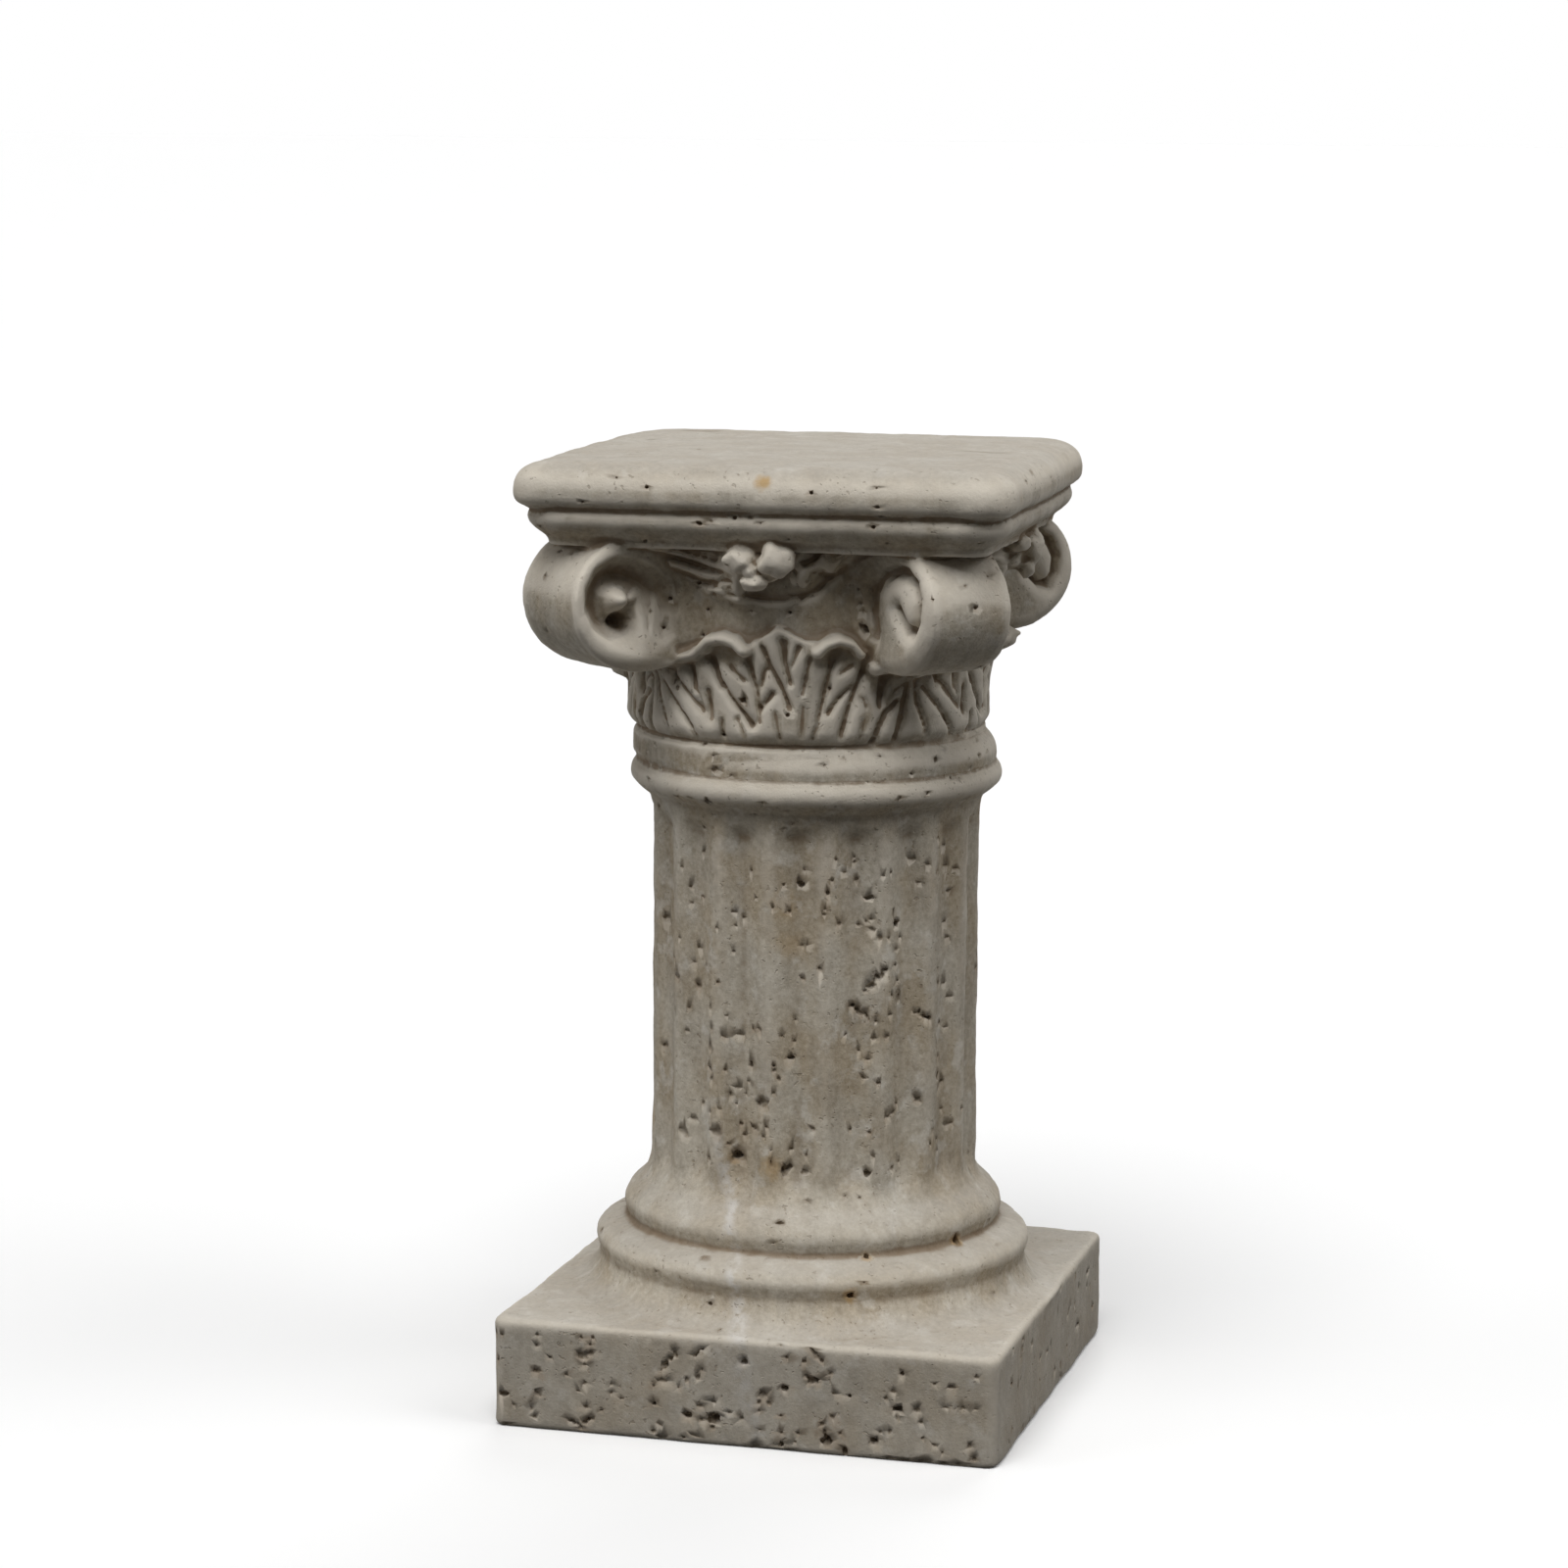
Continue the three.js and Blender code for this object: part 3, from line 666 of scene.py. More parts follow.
# Each pore is (angle or place across, height, width, height of the pore, tilt, deep or not).
shaft_pits = [
    (-24.5, 110.3, 2.8, 1.5, 20, 1), (-8.1, 113, 2.2, 2.2, 0, 1), (6.7, 116, 2.6, 2, 0, 1),
    (-12.7, 121.9, 3.6, 1, 5, 0), (-17.8, 120.9, 3.2, 0.9, 20, 0), (-4.5, 124.6, 2.4, 1.1, 40, 0),
    (-7.4, 124.3, 1.2, 1.8, 0, 0), (-13.3, 105.1, 3, 1.3, 0, 0), (-16, 102.8, 1.3, 2.2, 0, 0),
    (-10.4, 103.2, 1.4, 0.9, 40, 0), (-3.2, 101.2, 4, 3.6, 0, 0), (-20, 98, 1.8, 1, 30, 0),
    (-14, 99.9, 1.2, 0.9, 30, 0), (-29.6, 98.2, 1.4, 2.4, 60, 0), (-24.2, 96.4, 1.4, 1.4, 0, 0),
    (-34, 92.6, 3, 1.5, 10, 0), (-38, 87.8, 4.6, 2.6, 25, 0), (-21.6, 90.3, 5.6, 2.6, 0, 0),
    (-13.7, 83.5, 3.4, 3.2, 0, 1), (-12, 82.5, 2.4, 2, 0, 0), (-24.7, 81.6, 2, 1.8, 0, 0),
    (-16.6, 87, 1.6, 1.2, 30, 0), (-11, 90.2, 2, 1.3, 0, 0), (-12.3, 93.6, 1.4, 1.4, 0, 0),
    (-6.6, 93, 3, 2, 0, 0), (-2.6, 90.8, 1.4, 1, 0, 0), (-1.5, 94, 1.4, 1.4, 0, 0),
    (0.3, 82.5, 3.2, 1, 80, 0), (4.7, 80.2, 2.6, 4.2, 0, 1), (6.5, 81.5, 2.2, 2.4, 0, 1),
    (6.8, 87, 1.8, 1.4, 0, 0), (12, 80, 2.6, 2.2, -20, 0), (12.4, 85, 1.2, 2, 0, 0),
    (15, 93.6, 1.1, 1.6, 0, 0), (1.2, 112, 1.6, 1.4, 0, 0), (2.6, 109.3, 2.2, 1.1, 60, 0),
    (1, 104.9, 1.2, 1.2, 0, 0), (8, 127.8, 1.2, 0.9, 0, 0), (7.8, 121, 1.2, 1.2, 0, 0),
    (3.5, 122.8, 1, 1, 0, 0), (-24.5, 129.5, 1.6, 2.2, 0, 0), (-23.5, 123, 1.2, 2, 0, 0),
    (-24.3, 117, 2.2, 3.2, 0, 0), (-23.4, 107, 1.4, 2, 0, 0), (-17.4, 127.7, 1.6, 1, 0, 0),
    (-17.6, 110.5, 1.4, 1, 0, 0), (-9.3, 107.4, 1.6, 1, 0, 0), (-36.5, 120.3, 2, 1, 0, 0),
    (-36, 127.8, 1.6, 1, 0, 0), (-32.4, 135, 2.4, 1.8, 0, 0), (-44, 125.8, 2.5, 1, 0, 0),
    (-55, 112.5, 2.5, 1.6, 0, 0), (36.5, 127.3, 1.4, 1.2, 0, 0), (35.8, 122, 2.4, 2, 0, 0),
    (26, 123.2, 1.8, 1.1, -30, 0), (31, 118, 1.2, 1.2, 0, 0), (34.3, 115.3, 1.6, 1, 0, 0),
    (32.6, 109.4, 1.8, 1.3, 30, 0), (37.6, 107.7, 1.8, 1.5, 0, 0), (44.3, 97.6, 1.4, 1.4, 0, 0),
    (45.9, 100.2, 1.2, 1.2, 0, 0), (54.5, 100.8, 2.8, 2.2, 40, 0), (64.5, 107, 3.4, 3.4, 0, 1),
    (66.8, 103.8, 5, 2, -30, 0), (65.2, 112.9, 2.4, 1, 0, 0), (72.8, 90.2, 3.6, 1.4, -15, 0),
    (34.9, 92, 1.2, 1.2, 0, 0), (28.3, 93, 1.2, 1.2, 0, 0), (36, 84.6, 2.2, 1, 40, 0),
    (34, 79.2, 2.6, 2.6, 0, 1), (45.8, 133.3, 3.2, 1.6, 80, 0), (42, 129, 2.6, 0.9, 0, 0),
    (59.8, 86, 1.8, 1, 30, 0), (66, 86.3, 2, 1, 0, 0), (66.5, 82.5, 2.5, 1, 0, 0),
    (47.4, 81.6, 1.2, 1.2, 0, 0), (72, 131, 2.6, 1, 0, 0), (70.8, 121.5, 2.4, 0.9, 0, 0),
    (69, 95.5, 2, 1, 0, 0), (9.5, 170.2, 2.9, 2.3, 30, 1), (-15, 160.3, 2.4, 1, 10, 0),
    (-11.6, 158.7, 1.6, 1.2, 0, 0), (-14.5, 156, 1.6, 0.9, 20, 0), (-21, 155, 1.5, 1.5, 0, 0),
    (-8.4, 173.6, 1.4, 1.4, 0, 0), (11, 174.6, 1, 1, 0, 0), (10.3, 151, 1.8, 1.1, 70, 0),
    (16.6, 144.2, 2.2, 1.3, 30, 0), (10.4, 140.8, 1.6, 1.1, 30, 0), (17.9, 161.3, 1.6, 0.9, 0, 0),
    (23.3, 158.2, 1.8, 1.6, 0, 0), (-31.8, 147.2, 2.6, 1.2, 0, 0), (-47.4, 149.3, 2.6, 1, 15, 0),
    (-43.8, 142.6, 2.6, 1, 15, 0), (-41.5, 136.8, 3.6, 1.4, 15, 0), (-20.6, 138, 1.8, 1.2, 0, 0),
    (-30, 163.3, 2, 1, 20, 0), (-35.2, 161, 1.6, 1, 0, 0), (-35.6, 166, 1.4, 1.4, 0, 0),
    (-38.7, 172, 1.8, 1.2, 0, 0), (-30, 177.5, 2, 1.6, 0, 0), (-28, 185.5, 2.4, 1.5, 30, 0),
    (-54, 153.5, 4, 2.4, 0, 0), (0.3, 163, 1, 1, 0, 0), (5.7, 161.6, 1.3, 1.3, 0, 0),
    (3.8, 170, 1, 1, 0, 0), (-15, 148, 1.5, 1.3, 50, 0), (-34, 142.5, 1.8, 1, 0, 0),
    (34, 166, 4.2, 1.8, -12, 1), (44.6, 157.2, 3.4, 2.8, 0, 1), (43, 160.5, 3.4, 1, 85, 1),
    (35, 156, 2.6, 1.2, 30, 0), (37.5, 153.4, 1.8, 2.4, 0, 0), (41, 153, 1, 1.4, 0, 0),
    (46.4, 152.7, 1.4, 1.1, 0, 0), (44.3, 149.2, 1.8, 1.4, 30, 0), (33, 158.5, 1.2, 1.2, 0, 0),
    (34.7, 159.2, 1.6, 0.9, 0, 0), (30.5, 157.4, 1.2, 1.2, 0, 0), (44, 144.3, 1.6, 0.9, 30, 0),
    (45.2, 139.2, 2, 1, 0, 0), (46.3, 134, 3, 1.4, 70, 0), (25, 174, 1.5, 1.1, 0, 0),
    (29.6, 171.3, 1.6, 2.2, 0, 0), (20.5, 171.8, 1.1, 1.1, 0, 0), (51.3, 176.8, 3.4, 1.4, 8, 0),
    (56.7, 174.8, 2, 1, 0, 0), (53.5, 169.4, 2.2, 1, 0, 0), (62, 182.5, 1.4, 2, 0, 0),
    (67.8, 179.4, 3.4, 1.2, 0, 0), (69, 172.9, 2.8, 1, 0, 0), (73.8, 171.5, 3, 1.2, 0, 0),
    (71, 164.6, 2.4, 1.2, 0, 0), (69.2, 155.1, 2.6, 1, 0, 0), (71, 150, 2.4, 1, 0, 0),
    (69, 135.6, 2.6, 1, 0, 0), (63, 141.3, 1.6, 1, 0, 0), (38.5, 172.8, 1.8, 0.9, 0, 0),
    (41.5, 173.6, 1.2, 1.2, 0, 0), (28.8, 177, 1.2, 1.2, 0, 0), (21.8, 178.3, 1.2, 1.2, 0, 0),
    (6, 223.5, 1.6, 1.4, 0, 1), (-15.5, 216.2, 1.6, 1.2, 0, 1), (18.5, 231.7, 1.5, 1.4, 0, 1),
]
shaft_gashes = [
    ([(28, 132.5), (34, 128.3)], 1.6), ([(40.5, 96.6), (44.5, 97.8)], 0.9),
    ([(53.8, 128.6), (58.5, 126)], 1.5), ([(32.3, 136.8), (37.5, 141.4), (40.5, 143.8)], 2.0),
]
plinth_pits = [
    (-76.4, 10.4, 3.8, 2.2, 0, 1), (-73.3, 7.2, 1.6, 1, 40, 0), (-65.4, 11.4, 3, 1.6, 50, 0),
    (-67.5, 6.4, 1.4, 2, 0, 0), (-66.4, 3.9, 1.5, 1.5, 0, 0), (-65.6, 26.9, 1.4, 1.4, 0, 0),
    (-65.3, 30.3, 1.2, 1.2, 0, 0), (-61.1, 23.3, 1.4, 1.2, 30, 0), (-51.1, 30.6, 1.6, 1.2, 50, 0),
    (-47.4, 30.8, 1.3, 1.3, 0, 0), (-48.2, 28.6, 1.2, 1.2, 0, 0), (-48.2, 25.8, 2.2, 2.6, 40, 0),
    (-50, 22, 1.8, 0.9, 0, 0), (-50.1, 16.1, 2.2, 1.4, -30, 0), (-52.2, 13.4, 1.7, 1, 0, 0),
    (-49.7, 8.6, 2, 1.6, 0, 0), (-44.7, 7.9, 1.5, 1, 0, 0), (-41.5, 16.5, 1.1, 1.4, 0, 0),
    (-41.5, 13.8, 1.3, 1.3, 0, 0), (-38.1, 12.2, 2, 1, 0, 0), (-56, 18.3, 1.6, 1.2, 0, 0),
    (-24.9, 19.1, 3.2, 1.8, 0, 0), (-27.8, 17.2, 1.2, 1.2, 0, 0), (-27.5, 11.7, 1.4, 1.4, 0, 1),
    (-12.4, 23.6, 1, 1.5, 0, 0), (-17.2, 19.9, 1.6, 2.2, 0, 0), (-13.6, 21.1, 2, 1.6, -30, 0),
    (-16.8, 8.9, 3.2, 2.2, 0, 1), (-8.6, 8.4, 4.6, 3.6, 0, 1), (-8.9, 5.6, 2, 1.5, 0, 0),
    (-12.8, 12.2, 2.6, 1.5, 0, 0), (-8.6, 13.7, 2, 0.9, 0, 0), (-3.6, 10.8, 1.8, 0.9, 0, 0),
    (-12.5, 7.9, 1.4, 1.4, 0, 0), (-25.8, 5.2, 3, 1, 35, 0), (-27.8, 2.8, 1.8, 1.8, 0, 0),
    (-25, 1.1, 4, 2.4, 0, 0), (-18, 1.7, 1.6, 1.6, 0, 0), (-14.4, 2.5, 4, 0.9, 15, 0),
    (-79.2, 29.4, 1.5, 1.5, 0, 0), (-77, 29.4, 1.2, 1.2, 0, 0), (-75.5, 0.8, 4, 1.6, 0, 0),
    (1.1, 27.2, 2.2, 2.6, 0, 1), (0.3, 9.2, 1.6, 1.6, 0, 0), (6.9, 17.2, 3, 3.2, 0, 0),
    (5.8, 14.7, 1.6, 1.6, 0, 0), (8.9, 14.7, 1.8, 1.8, 0, 0), (5.8, 12.2, 1.3, 1.3, 0, 0),
    (13.9, 19.9, 2.6, 2.6, 0, 1), (12.7, 11.1, 1.6, 1, 0, 0), (6.1, 6.1, 1.6, 0.9, 0, 0),
    (12.8, 5.8, 1.2, 1.2, 0, 0), (12.8, 2.2, 2.2, 2.2, 0, 1), (5, 0.8, 3, 2, 0, 0),
    (18.2, 6.1, 1.5, 1.2, 40, 0), (17.2, 3.3, 1.2, 1.2, 0, 0), (20, 28.9, 1.8, 1.4, 0, 0),
    (22.8, 23.3, 4.6, 2.8, 0, 1), (20.8, 24.4, 1.6, 1.6, 0, 0), (28.1, 25.8, 1.2, 1.6, 0, 0),
    (29.4, 19.6, 1.8, 1.2, 0, 0), (34.2, 19.3, 1.6, 1.4, 50, 1), (28.9, 12.2, 1.8, 1.4, 0, 0),
    (25.6, 9.7, 2.2, 1.6, -50, 0), (27.2, 4.7, 4, 3.6, 0, 1), (26.4, 7.2, 1.6, 2.5, 0, 0),
    (31.4, 7.2, 1.4, 1.4, 0, 0), (33.1, 1.9, 2.2, 3, 0, 1), (41.9, 5.8, 2.8, 2.4, 0, 1),
    (44, 8.8, 1.2, 1.5, 0, 0), (46.9, 9.2, 2.4, 1.4, -60, 0), (49.4, 16.4, 3.2, 2.6, 0, 1),
    (49.4, 13.6, 3, 1.4, 70, 0), (47.9, 21.9, 2.2, 1.4, 20, 0), (45.7, 19.3, 1.3, 1.6, 0, 0),
    (50.7, 27.7, 1.6, 1.6, 0, 1), (55.3, 16.7, 2.4, 2, 0, 0), (56.7, 12.8, 1.4, 1.4, 0, 0),
    (57.2, 7.9, 1.4, 1.4, 0, 0), (60.8, 6.2, 2, 1.1, 20, 0), (63.3, 4.1, 1, 1.4, 0, 0),
    (60.7, 25.3, 1.2, 1.2, 0, 0), (66.1, 24.7, 3, 1.2, 0, 0), (64.4, 18.3, 1.8, 1, 0, 0),
    (69.6, 18.5, 1.8, 1.6, 0, 0), (73.4, 18.5, 1.5, 1, 0, 0), (71.7, 6.9, 1.4, 2, 0, 0),
    (73.2, 2.8, 1.6, 2.2, 0, 0), (73.6, 28.6, 1.8, 1.2, 0, 0), (14.4, 29.6, 1.4, 1.4, 0, 0),
    (47, 0.8, 3, 1.8, 0, 0), (52, 0.6, 4, 1.6, 0, 0), (58, 0.8, 5, 2, 0, 0), (64, 0.6, 4, 1.6, 0, 0),
    (68.5, 0.8, 3, 1.8, 0, 0), (-21.3, 262.7, 1.8, 1.4, 0, 1), (-21.5, 261, 1.2, 1, 0, 0),
    (-18.5, 254.7, 1.4, 1.2, 0, 1), (-10, 256.8, 1.2, 1.2, 0, 0), (-4, 255, 1.2, 1.2, 0, 0),
    (7.8, 255, 1.5, 1.3, 0, 1), (27.3, 262, 1.2, 1.2, 0, 0), (28.3, 257.8, 1.4, 1.4, 0, 0),
    (29, 255.4, 1.2, 1.2, 0, 0), (29.3, 250, 4, 2.4, 50, 1), (35, 249.3, 2.2, 2.2, 0, 1),
    (-30.5, 257.5, 1.6, 1.4, 0, 1), (-32, 248.8, 1.5, 1.2, 0, 1), (-34, 276.3, 2, 1.6, 0, 1),
    (-15.7, 282.8, 2.4, 1.4, 0, 1), (-12, 283.5, 1.4, 1.2, 0, 0), (37, 283, 1.6, 1.4, 0, 1),
    (11, 278.5, 1.4, 1.4, 0, 0), (40.5, 278, 1.6, 1.4, 0, 0), (0, 285, 2.6, 1.2, 0, 0),
]
plinth_gashes = [
    ([(-55.3, 4.4), (-51.7, 2.2), (-48, 4.7)], 1.5),
    ([(-25, 22.3), (-24.3, 24.5), (-22.5, 26), (-20.5, 28)], 1.5), ([(-15, 27.6), (-12.5, 30)], 1.0),
    ([(22, 33.2), (23.5, 31), (25.3, 29.6)], 1.3),
]
side_pits = [
    (-44.7, 31, 3, 1, 0, 0), (12.8, 32.2, 2, 1.4, 0, 0), (57.8, 26, 5, 2, 0, 1), (-6.7, 16.7, 3, 1.5, 0, 0),
    (5.6, 7.2, 3, 1.5, 0, 0), (38.9, 12.8, 6, 1.6, 0, 1), (65.6, 12, 3, 2, 0, 0),
]
# Pores on the rounds and the slab, at pixels of the photograph's 1600 frame.
photo_pits = [
    (975, 1265, 2.6, 4.6, 0, 1), (884, 1282, 2, 2, 0, 1), (868, 1322, 2.6, 2.6, 0, 1),
    (796, 1248, 3, 1.4, 0, 1), (725, 1330, 2, 1.4, 0, 1), (749, 1183, 2, 1.6, 0, 0),
    (660, 497, 1.4, 1.2, 0, 1), (594, 512, 1.4, 1.2, 0, 1), (750, 528, 1.8, 1.4, 0, 1),
    (828, 503, 1.4, 1.4, 0, 1), (895, 518, 1.6, 1.2, 0, 1), (572, 562, 1.6, 1.6, 0, 0),
    (556, 588, 1.4, 1.4, 0, 0), (1075, 640, 1.6, 1.2, 0, 0), (1008, 588, 1.2, 1, 0, 0),
    (985, 598, 1.4, 1.2, 0, 0), (996, 620, 1.8, 1.4, 0, 1), (1013, 570, 1.1, 1.1, 0, 0),
    (952, 612, 1.1, 1, 0, 0), (618, 805, 1.4, 1, 0, 0),
]
for find, pits, gashes in (
    (on_shaft, shaft_pits, shaft_gashes), (on_front, plinth_pits, plinth_gashes), (on_right, side_pits, []),
    (seen_at, photo_pits, []),
):
    for across, height, wide, tall, tilt, deep in pits:
        place, outward = find(across, height)
        if place:
            pit(place, outward, wide, tall, tilt, deep)
    for path, wide in gashes:
        gash(path, wide, find)

strewn = 1500
faces = column.data.polygons
while strewn:
    face = faces[pit_dice.randrange(len(faces))]
    place, outward = face.center.copy(), face.normal.copy()
    strewn -= 1
    wide = 0.75 + pit_dice.expovariate(2.2)
    wide = min(wide, 4.2)
    tall = wide * pit_dice.uniform(0.45, 1.0)
    seen = outward.y < -0.3 and 72 < place.z < 188 or outward.y < -0.9 and place.z < 34
    chance = 0.08 if outward.z > 0.8 else 0.2 if seen or place.z > 214 or 36 < place.z < 70 else 1.0
    if place.z > 0.3 and pit_dice.random() < chance:
        pit(place, outward, wide, tall, pit_dice.gauss(0, 35), pit_dice.random() < 0.3)

cutter = shown("pits", joined(pit_forms))
merge = cutter.modifiers.new("merge", "REMESH")
merge.mode = "VOXEL"
merge.voxel_size = 0.3
settled(cutter)
for surface_name, piece in (("stone", column), ("pore", cutter)):
    piece.data.materials.append(bpy.data.materials.new(surface_name))
pierce = column.modifiers.new("pierce", "BOOLEAN")
pierce.operation = "DIFFERENCE"
pierce.solver = "MANIFOLD"
pierce.material_mode = "TRANSFER"
pierce.object = cutter
settled(column)
bpy.data.objects.remove(cutter)

# Wear, dirt, painted light and painted shade: each point of the stone keeps how hollow it lies, in its own
# near surroundings and in wider ones, and whether it is in a pore or near one. The stone's colour follows
# these.
mesh = column.data
points = points_of(mesh)
normals = np.empty(len(mesh.vertices) * 3)
mesh.vertices.foreach_get("normal", normals)
normals = normals.reshape(-1, 3)
edges = np.empty(len(mesh.edges) * 2, dtype=np.int64)
mesh.edges.foreach_get("vertices", edges)
starts, ends = edges.reshape(-1, 2).T
neighbours = np.bincount(starts, minlength=len(points)) + np.bincount(ends, minlength=len(points))


def averaged(values, rounds):
    """Values evened out between neighbouring points, some times over."""
    for _ in range(rounds):
        total = np.stack([
            np.bincount(starts, one[ends], len(points)) + np.bincount(ends, one[starts], len(points))
            for one in values.T
        ], 1)
        values = (values + total / np.maximum(neighbours, 1)[:, None]) / 2
    return values


def keep(name, values):
    layer = mesh.attributes.new(name, "FLOAT", "POINT")
    layer.data.foreach_set("value", values.astype(np.float32))


near_rounds = 9
wide_rounds = 64
stain_rounds = 18
sunk = ((averaged(points, near_rounds) - points) * normals).sum(1)
keep("sunk", averaged(sunk[:, None], 1)[:, 0])
broad = ((averaged(points, wide_rounds) - points) * normals).sum(1)
keep("broad", averaged(broad[:, None], 2)[:, 0])
corner_points = np.empty(len(mesh.loops), dtype=np.int64)
mesh.loops.foreach_get("vertex_index", corner_points)
in_pore = np.array([face.material_index for face in mesh.polygons])
corner_counts = np.array([len(face.vertices) for face in mesh.polygons])
pore_corners = np.repeat(in_pore, corner_counts)
corners_met = np.bincount(corner_points, minlength=len(points))
pore_share = np.bincount(corner_points, pore_corners, len(points)) / corners_met
keep("pore", pore_share)
keep("stained", averaged(pore_share[:, None], stain_rounds)[:, 0])
thin = column.modifiers.new("thin", "DECIMATE")
triangles = 194000
thin.ratio = min(1, triangles / sum(len(face.vertices) - 2 for face in column.data.polygons))
settled(column)

# The vein and the rust stains, at pixels of the photograph's 1600 frame. A stain is (across, down, its
# size in millimetres, share of rust).
vein_top = seen_at(742, 1200)[0] * stone_scale
vein_foot = seen_at(752, 1378)[0] * stone_scale
stain_places = [
    (seen_at(right, down)[0] * stone_scale, size * stone_scale, share)
    for right, down, size, share in (
        (975, 1267, 3.2, 0.7), (868, 1322, 3.0, 0.6), (884, 1284, 2.4, 0.4), (749, 1183, 2.4, 0.4),
        (787, 1192, 4.6, 0.4), (778, 492, 3.4, 0.75), (800, 925, 6, 0.2), (806, 965, 6, 0.2),
        (668, 1140, 5, 0.25),
    )
]
column.data.transform(Matrix.Scale(stone_scale, 4))
column.data.shade_smooth()
column.data.materials.clear()
column.data.polygons.foreach_set("material_index", [0] * len(column.data.polygons))


# Travertine: warm grey stone, clouded and faintly streaked up its bedding, peppered with fine pores,
# brown in the hollows from dirt and painted shade, and pale on raised and upward parts from wear and
# painted light.
class Wire:
    """A socket that can be reckoned with: sums on it add Math nodes."""

    def __init__(self, tree, socket):
        self.tree = tree
        self.socket = socket

    def reckoned(self, operation, *values):
        return made(self.tree, "ShaderNodeMath", {"operation": operation}, dict(enumerate(values)))

    def __add__(self, other):
        return self.reckoned("ADD", self, other)

    def __radd__(self, other):
        return self.reckoned("ADD", other, self)

    def __sub__(self, other):
        return self.reckoned("SUBTRACT", self, other)

    def __rsub__(self, other):
        return self.reckoned("SUBTRACT", other, self)

    def __mul__(self, other):
        return self.reckoned("MULTIPLY", self, other)

    def __rmul__(self, other):
        return self.reckoned("MULTIPLY", other, self)

    def most(self, other):
        return self.reckoned("MAXIMUM", self, other)

    def between(self, low, high):
        """0 at the low value, 1 at the high one, smooth between them."""
        settings = {"interpolation_type": "SMOOTHSTEP"}
        inputs = {"Value": self, "From Min": low, "From Max": high}
        return made(self.tree, "ShaderNodeMapRange", settings, inputs)


def made(tree, kind, settings, inputs, output=0):
    """A node of one kind, its settings made first, then its sockets filled with values or wires."""
    node = tree.nodes.new(kind)
    for setting, value in settings.items():
        setattr(node, setting, value)
    for socket, value in inputs.items():
        if isinstance(value, Wire):
            tree.links.new(value.socket, node.inputs[socket])
        else:
            node.inputs[socket].default_value = value
    return Wire(tree, node.outputs[output])


travertine = bpy.data.materials.new("travertine")
travertine.use_nodes = True
tree = travertine.node_tree
shader = tree.nodes["Principled BSDF"]
coordinates = made(tree, "ShaderNodeTexCoord", {}, {}, "Object")


def speckle(size, stretch=(1, 1, 1), detail=2.0, roughness=0.5):
    """Noise with grains of a size in millimetres, stretched along the axes."""
    scale = [1 / (size * stone_scale * part) for part in stretch]
    place = made(tree, "ShaderNodeMapping", {}, {"Vector": coordinates, "Scale": scale})
    inputs = {"Vector": place, "Scale": 1.0, "Detail": detail, "Roughness": roughness}
    return made(tree, "ShaderNodeTexNoise", {}, inputs)


def blended(share, under, over, kind="MIX"):
    settings = {"data_type": "RGBA", "blend_type": kind, "clamp_factor": True}
    return made(tree, "ShaderNodeMix", settings, {0: share, 6: under, 7: over}, 2)


def kept(name):
    return made(tree, "ShaderNodeAttribute", {"attribute_name": name}, {}, "Fac")


warm_stone = (0.42, 0.35, 0.252, 1)
pale_stone = (0.53, 0.48, 0.392, 1)
grey_stone = (0.36, 0.315, 0.25, 1)
chalk_stone = (0.68, 0.645, 0.575, 1)
dirt_and_shade_brown = (0.18, 0.12, 0.066, 1)
pore_brown = (0.20, 0.145, 0.09, 1)
rust = (0.48, 0.28, 0.07, 1)
vein_white = (0.68, 0.66, 0.63, 1)
sawn_grey = (0.34, 0.308, 0.26, 1)
worn_and_lit_stone = (0.77, 0.705, 0.60, 1)
dust_grey = (0.45, 0.42, 0.374, 1)
outward = made(tree, "ShaderNodeNewGeometry", {}, {}, "Normal")
up = made(tree, "ShaderNodeSeparateXYZ", {}, {0: outward}, "Z")
sunk_wire = kept("sunk")
broad_wire = kept("broad")
pore_wire = kept("pore")
stained_wire = kept("stained")

clouds = speckle(22, (1, 1, 1.5), 5, 0.6).between(0.38, 0.62)
streaks = speckle(6, (1, 1, 5), 3).between(0.42, 0.66)
mottle = speckle(1.8, detail=5, roughness=0.7)
colour = blended(clouds, warm_stone, pale_stone)
colour = blended(streaks * 0.45, colour, grey_stone)
colour = blended(speckle(8, detail=4, roughness=0.6).between(0.54, 0.68) * 0.5, colour, chalk_stone)
mottle_shade = mottle.between(0.2, 0.8)
mottle_grey = made(tree, "ShaderNodeCombineColor", {}, {0: mottle_shade, 1: mottle_shade, 2: mottle_shade})
colour = blended(0.45, colour, mottle_grey, "SOFT_LIGHT")
dust = up.between(0.3, 0.95)
colour = blended(dust * 0.6, colour, dust_grey)
raised = (0 - sunk_wire).between(0.02, 0.16)
sideways = made(tree, "ShaderNodeSeparateXYZ", {}, {0: coordinates}, "X")
upward = made(tree, "ShaderNodeSeparateXYZ", {}, {0: coordinates}, "Z")
# Proud parts, more so on the capital, are mixed towards the palest stone: partly wear, partly painted light
# where they stand out into the light.
proud = (0 - broad_wire).between(0.12, 0.5) * (0.35 + 0.4 * upward.between(0.12, 0.195))
# Raised parts are mixed towards the pale stone: a painted highlight.
colour = blended(raised * 0.4, colour, pale_stone)
colour = blended(proud * (1 - 0.6 * dust), colour, worn_and_lit_stone)
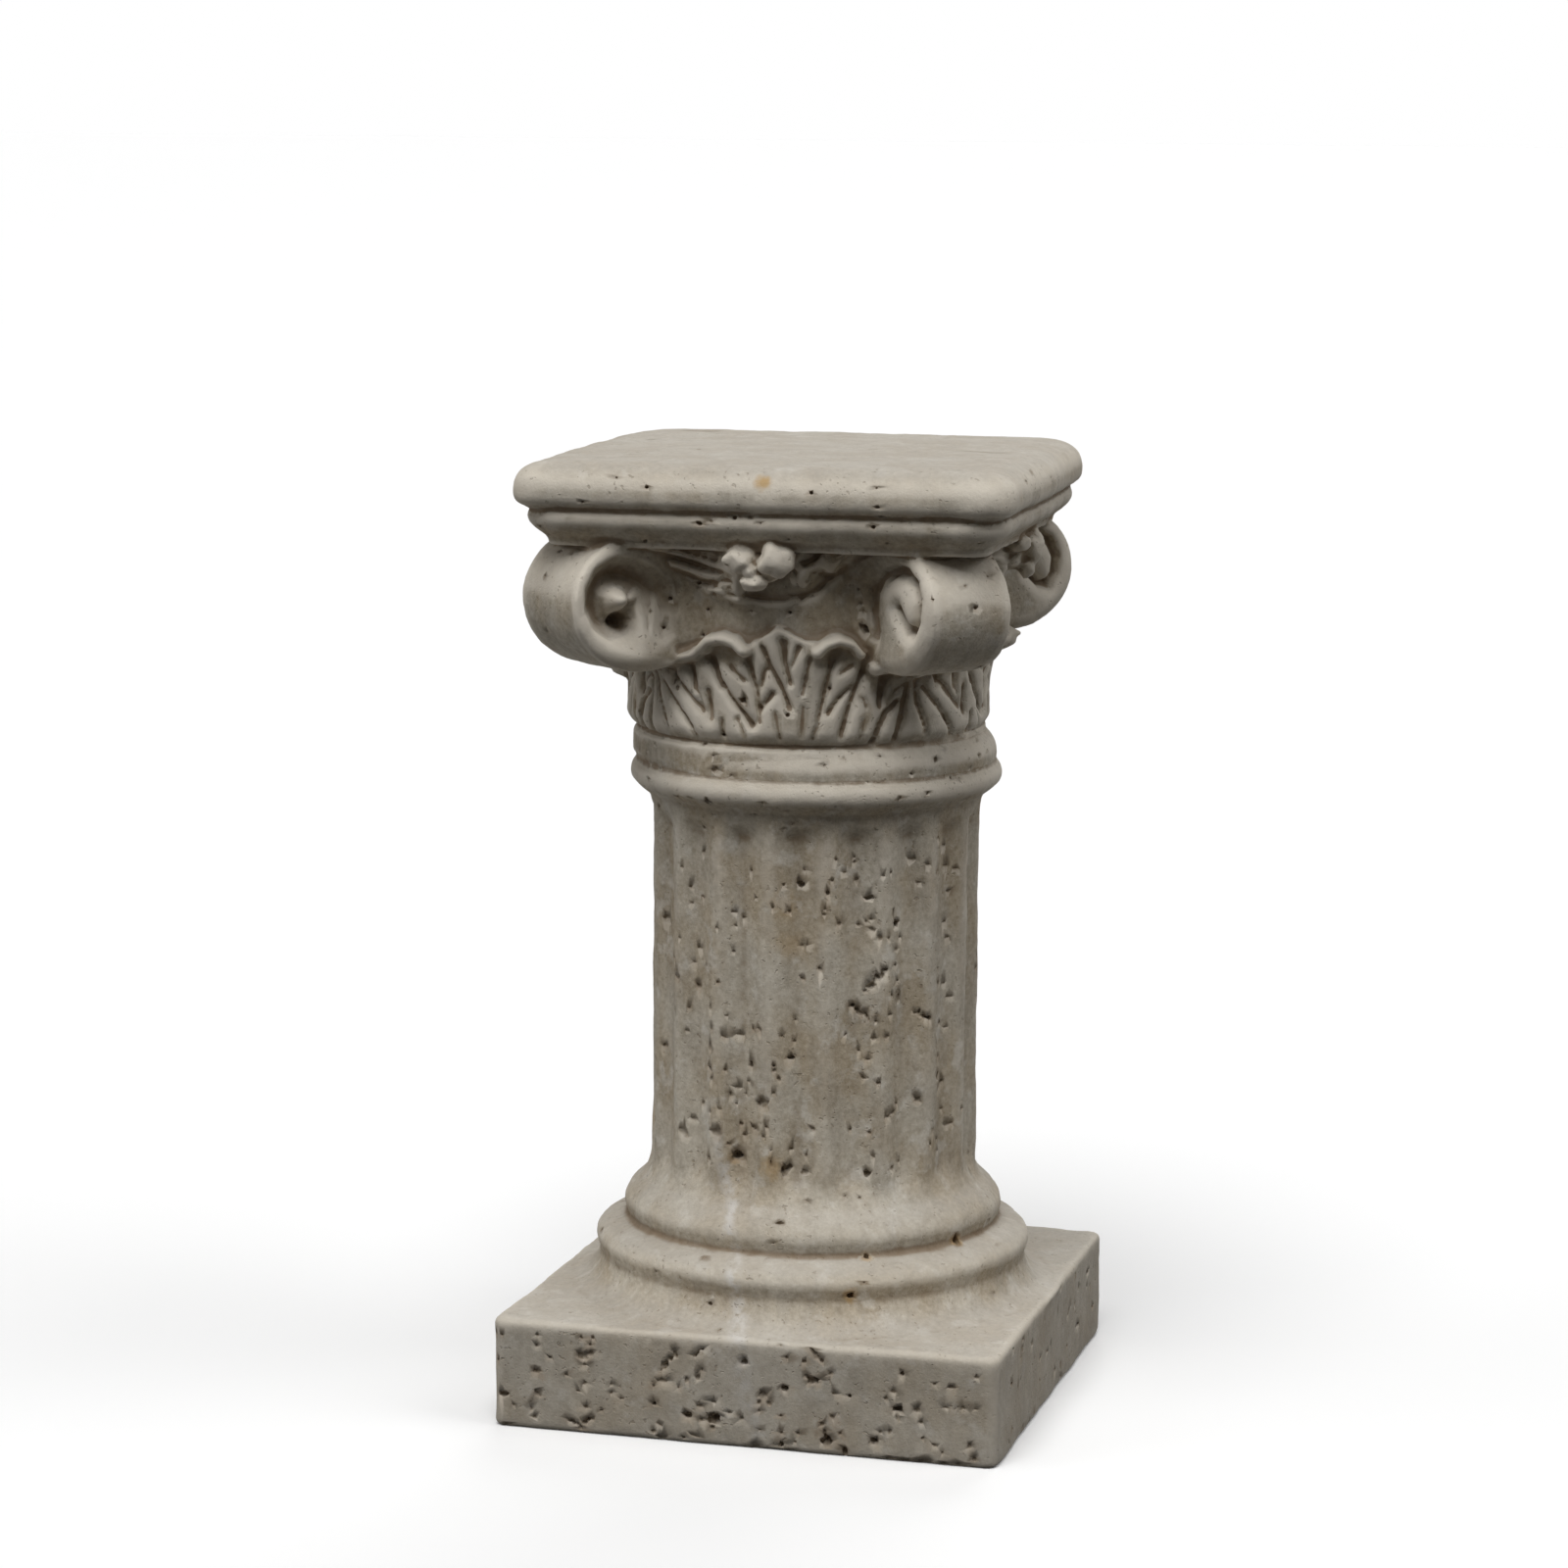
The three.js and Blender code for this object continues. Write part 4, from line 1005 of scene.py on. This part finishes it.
# Upward-facing slopes, more so on the capital, are mixed towards the palest stone: painted light from
# above.
lit_slopes = up.between(0.0, 0.24) * (0.1 + 0.6 * upward.between(0.12, 0.195)) * (1 - dust)
colour = blended(lit_slopes, colour, worn_and_lit_stone)
lean = (vein_top.x - vein_foot.x) / (vein_top.z - vein_foot.z)
vein_line = (upward - vein_foot.z) * lean + vein_foot.x
vein_off = sideways - vein_line + (speckle(12, detail=3) - 0.5) * 0.008
vein = (1 - vein_off.reckoned("ABSOLUTE", vein_off).between(0.0, 0.0042)) * (1 - upward.between(0.078, 0.1))
colour = blended(vein * speckle(4, detail=3).between(0.35, 0.6) * 0.6, colour, vein_white)
for stain, size, share in stain_places:
    gap = made(tree, "ShaderNodeVectorMath", {"operation": "DISTANCE"}, {0: coordinates, 1: stain}, "Value")
    ragged = gap + (speckle(2.5, detail=3) - 0.5) * size
    colour = blended((1 - ragged.between(0.2 * size, 1.1 * size)) * share, colour, rust)
on_capital = upward.between(0.208, 0.216)
sawn = (1 - upward.between(0.031, 0.035)) * (1 - dust)
colour = blended(sawn * 0.5, colour, sawn_grey)
# Hollows and creases, more so on the capital, are darkened towards brown: partly dirt, partly painted
# shade.
hollows = sunk_wire.between(0.02, 0.15) * (1 - 0.8 * pore_wire)
hollows = hollows.most(broad_wire.between(0.08, 0.6) * (0.18 + 0.75 * on_capital))
colour = blended(hollows * (0.55 + 0.5 * speckle(5, detail=2)), colour, dirt_and_shade_brown)
stains = stained_wire.between(0.02, 0.5) * speckle(14, detail=2).between(0.38, 0.66)
colour = blended(stains * 0.4, colour, dirt_and_shade_brown)
colour = blended(pore_wire * 0.25, colour, pore_brown)
pinholes = speckle(1.5, detail=1).between(0.66, 0.72) * speckle(11, detail=2).between(0.42, 0.6)
colour = blended(pinholes * 0.4, colour, pore_brown)
tree.links.new(colour.socket, shader.inputs["Base Color"])
grain = speckle(0.7, detail=3) * 0.5 + mottle * 0.6 - pinholes * 1.2
bump = made(tree, "ShaderNodeBump", {}, {"Strength": 0.5, "Distance": 0.0004, "Height": grain}, "Normal")
tree.links.new(bump.socket, shader.inputs["Normal"])
roughness = 0.72 + 0.2 * speckle(8, detail=2) - 0.1 * raised
tree.links.new(roughness.socket, shader.inputs["Roughness"])
column.data.materials.append(travertine)
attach(column, "root")
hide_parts("travertine_column")

# Floor and light: a pale studio floor under large soft lamps, most of it from high in front and from the
# right, with little from below.
floor_form = bmesh.new()
bmesh.ops.create_grid(floor_form, x_segments=1, y_segments=1, size=40)
floor_mesh = mesh_of(floor_form)
floor = shown("floor", floor_mesh)
paper = bpy.data.materials.new("paper")
paper.use_nodes = True
paper_shader = paper.node_tree.nodes["Principled BSDF"]
paper_shader.inputs["Base Color"].default_value = (0.99, 0.99, 0.99, 1)
paper_shader.inputs["Roughness"].default_value = 1
floor_mesh.materials.append(paper)
floor.visible_diffuse = False

# Each lamp is (name, elevation, azimuth from the front towards the right, strength).
lamps = [
    ("front lamp", 62, 0, 2.15), ("right lamp", 42, 90, 0.85), ("left lamp", 16, 300, 0.42),
    ("back lamp", 32, 180, 0.8), ("side lamp", 42, 285, 0.2),
]
for lamp_name, elevation, azimuth, strength in lamps:
    lamp_data = bpy.data.lights.new(lamp_name, "SUN")
    lamp_data.energy = strength
    lamp_data.angle = math.radians(40)
    lamp = bpy.data.objects.new(lamp_name, lamp_data)
    lamp.rotation_euler = (math.radians(90 - elevation), 0, math.radians(azimuth))
    bpy.context.scene.collection.objects.link(lamp)

world = bpy.data.worlds.new("sky")
world.use_nodes = True
bpy.context.scene.world = world
backdrop = made(world.node_tree, "ShaderNodeLightPath", {}, {}, "Is Camera Ray")
background = world.node_tree.nodes["Background"]
world.node_tree.links.new((0.045 + 0.955 * backdrop).socket, background.inputs["Color"])
bpy.context.scene.view_settings.view_transform = "Standard"
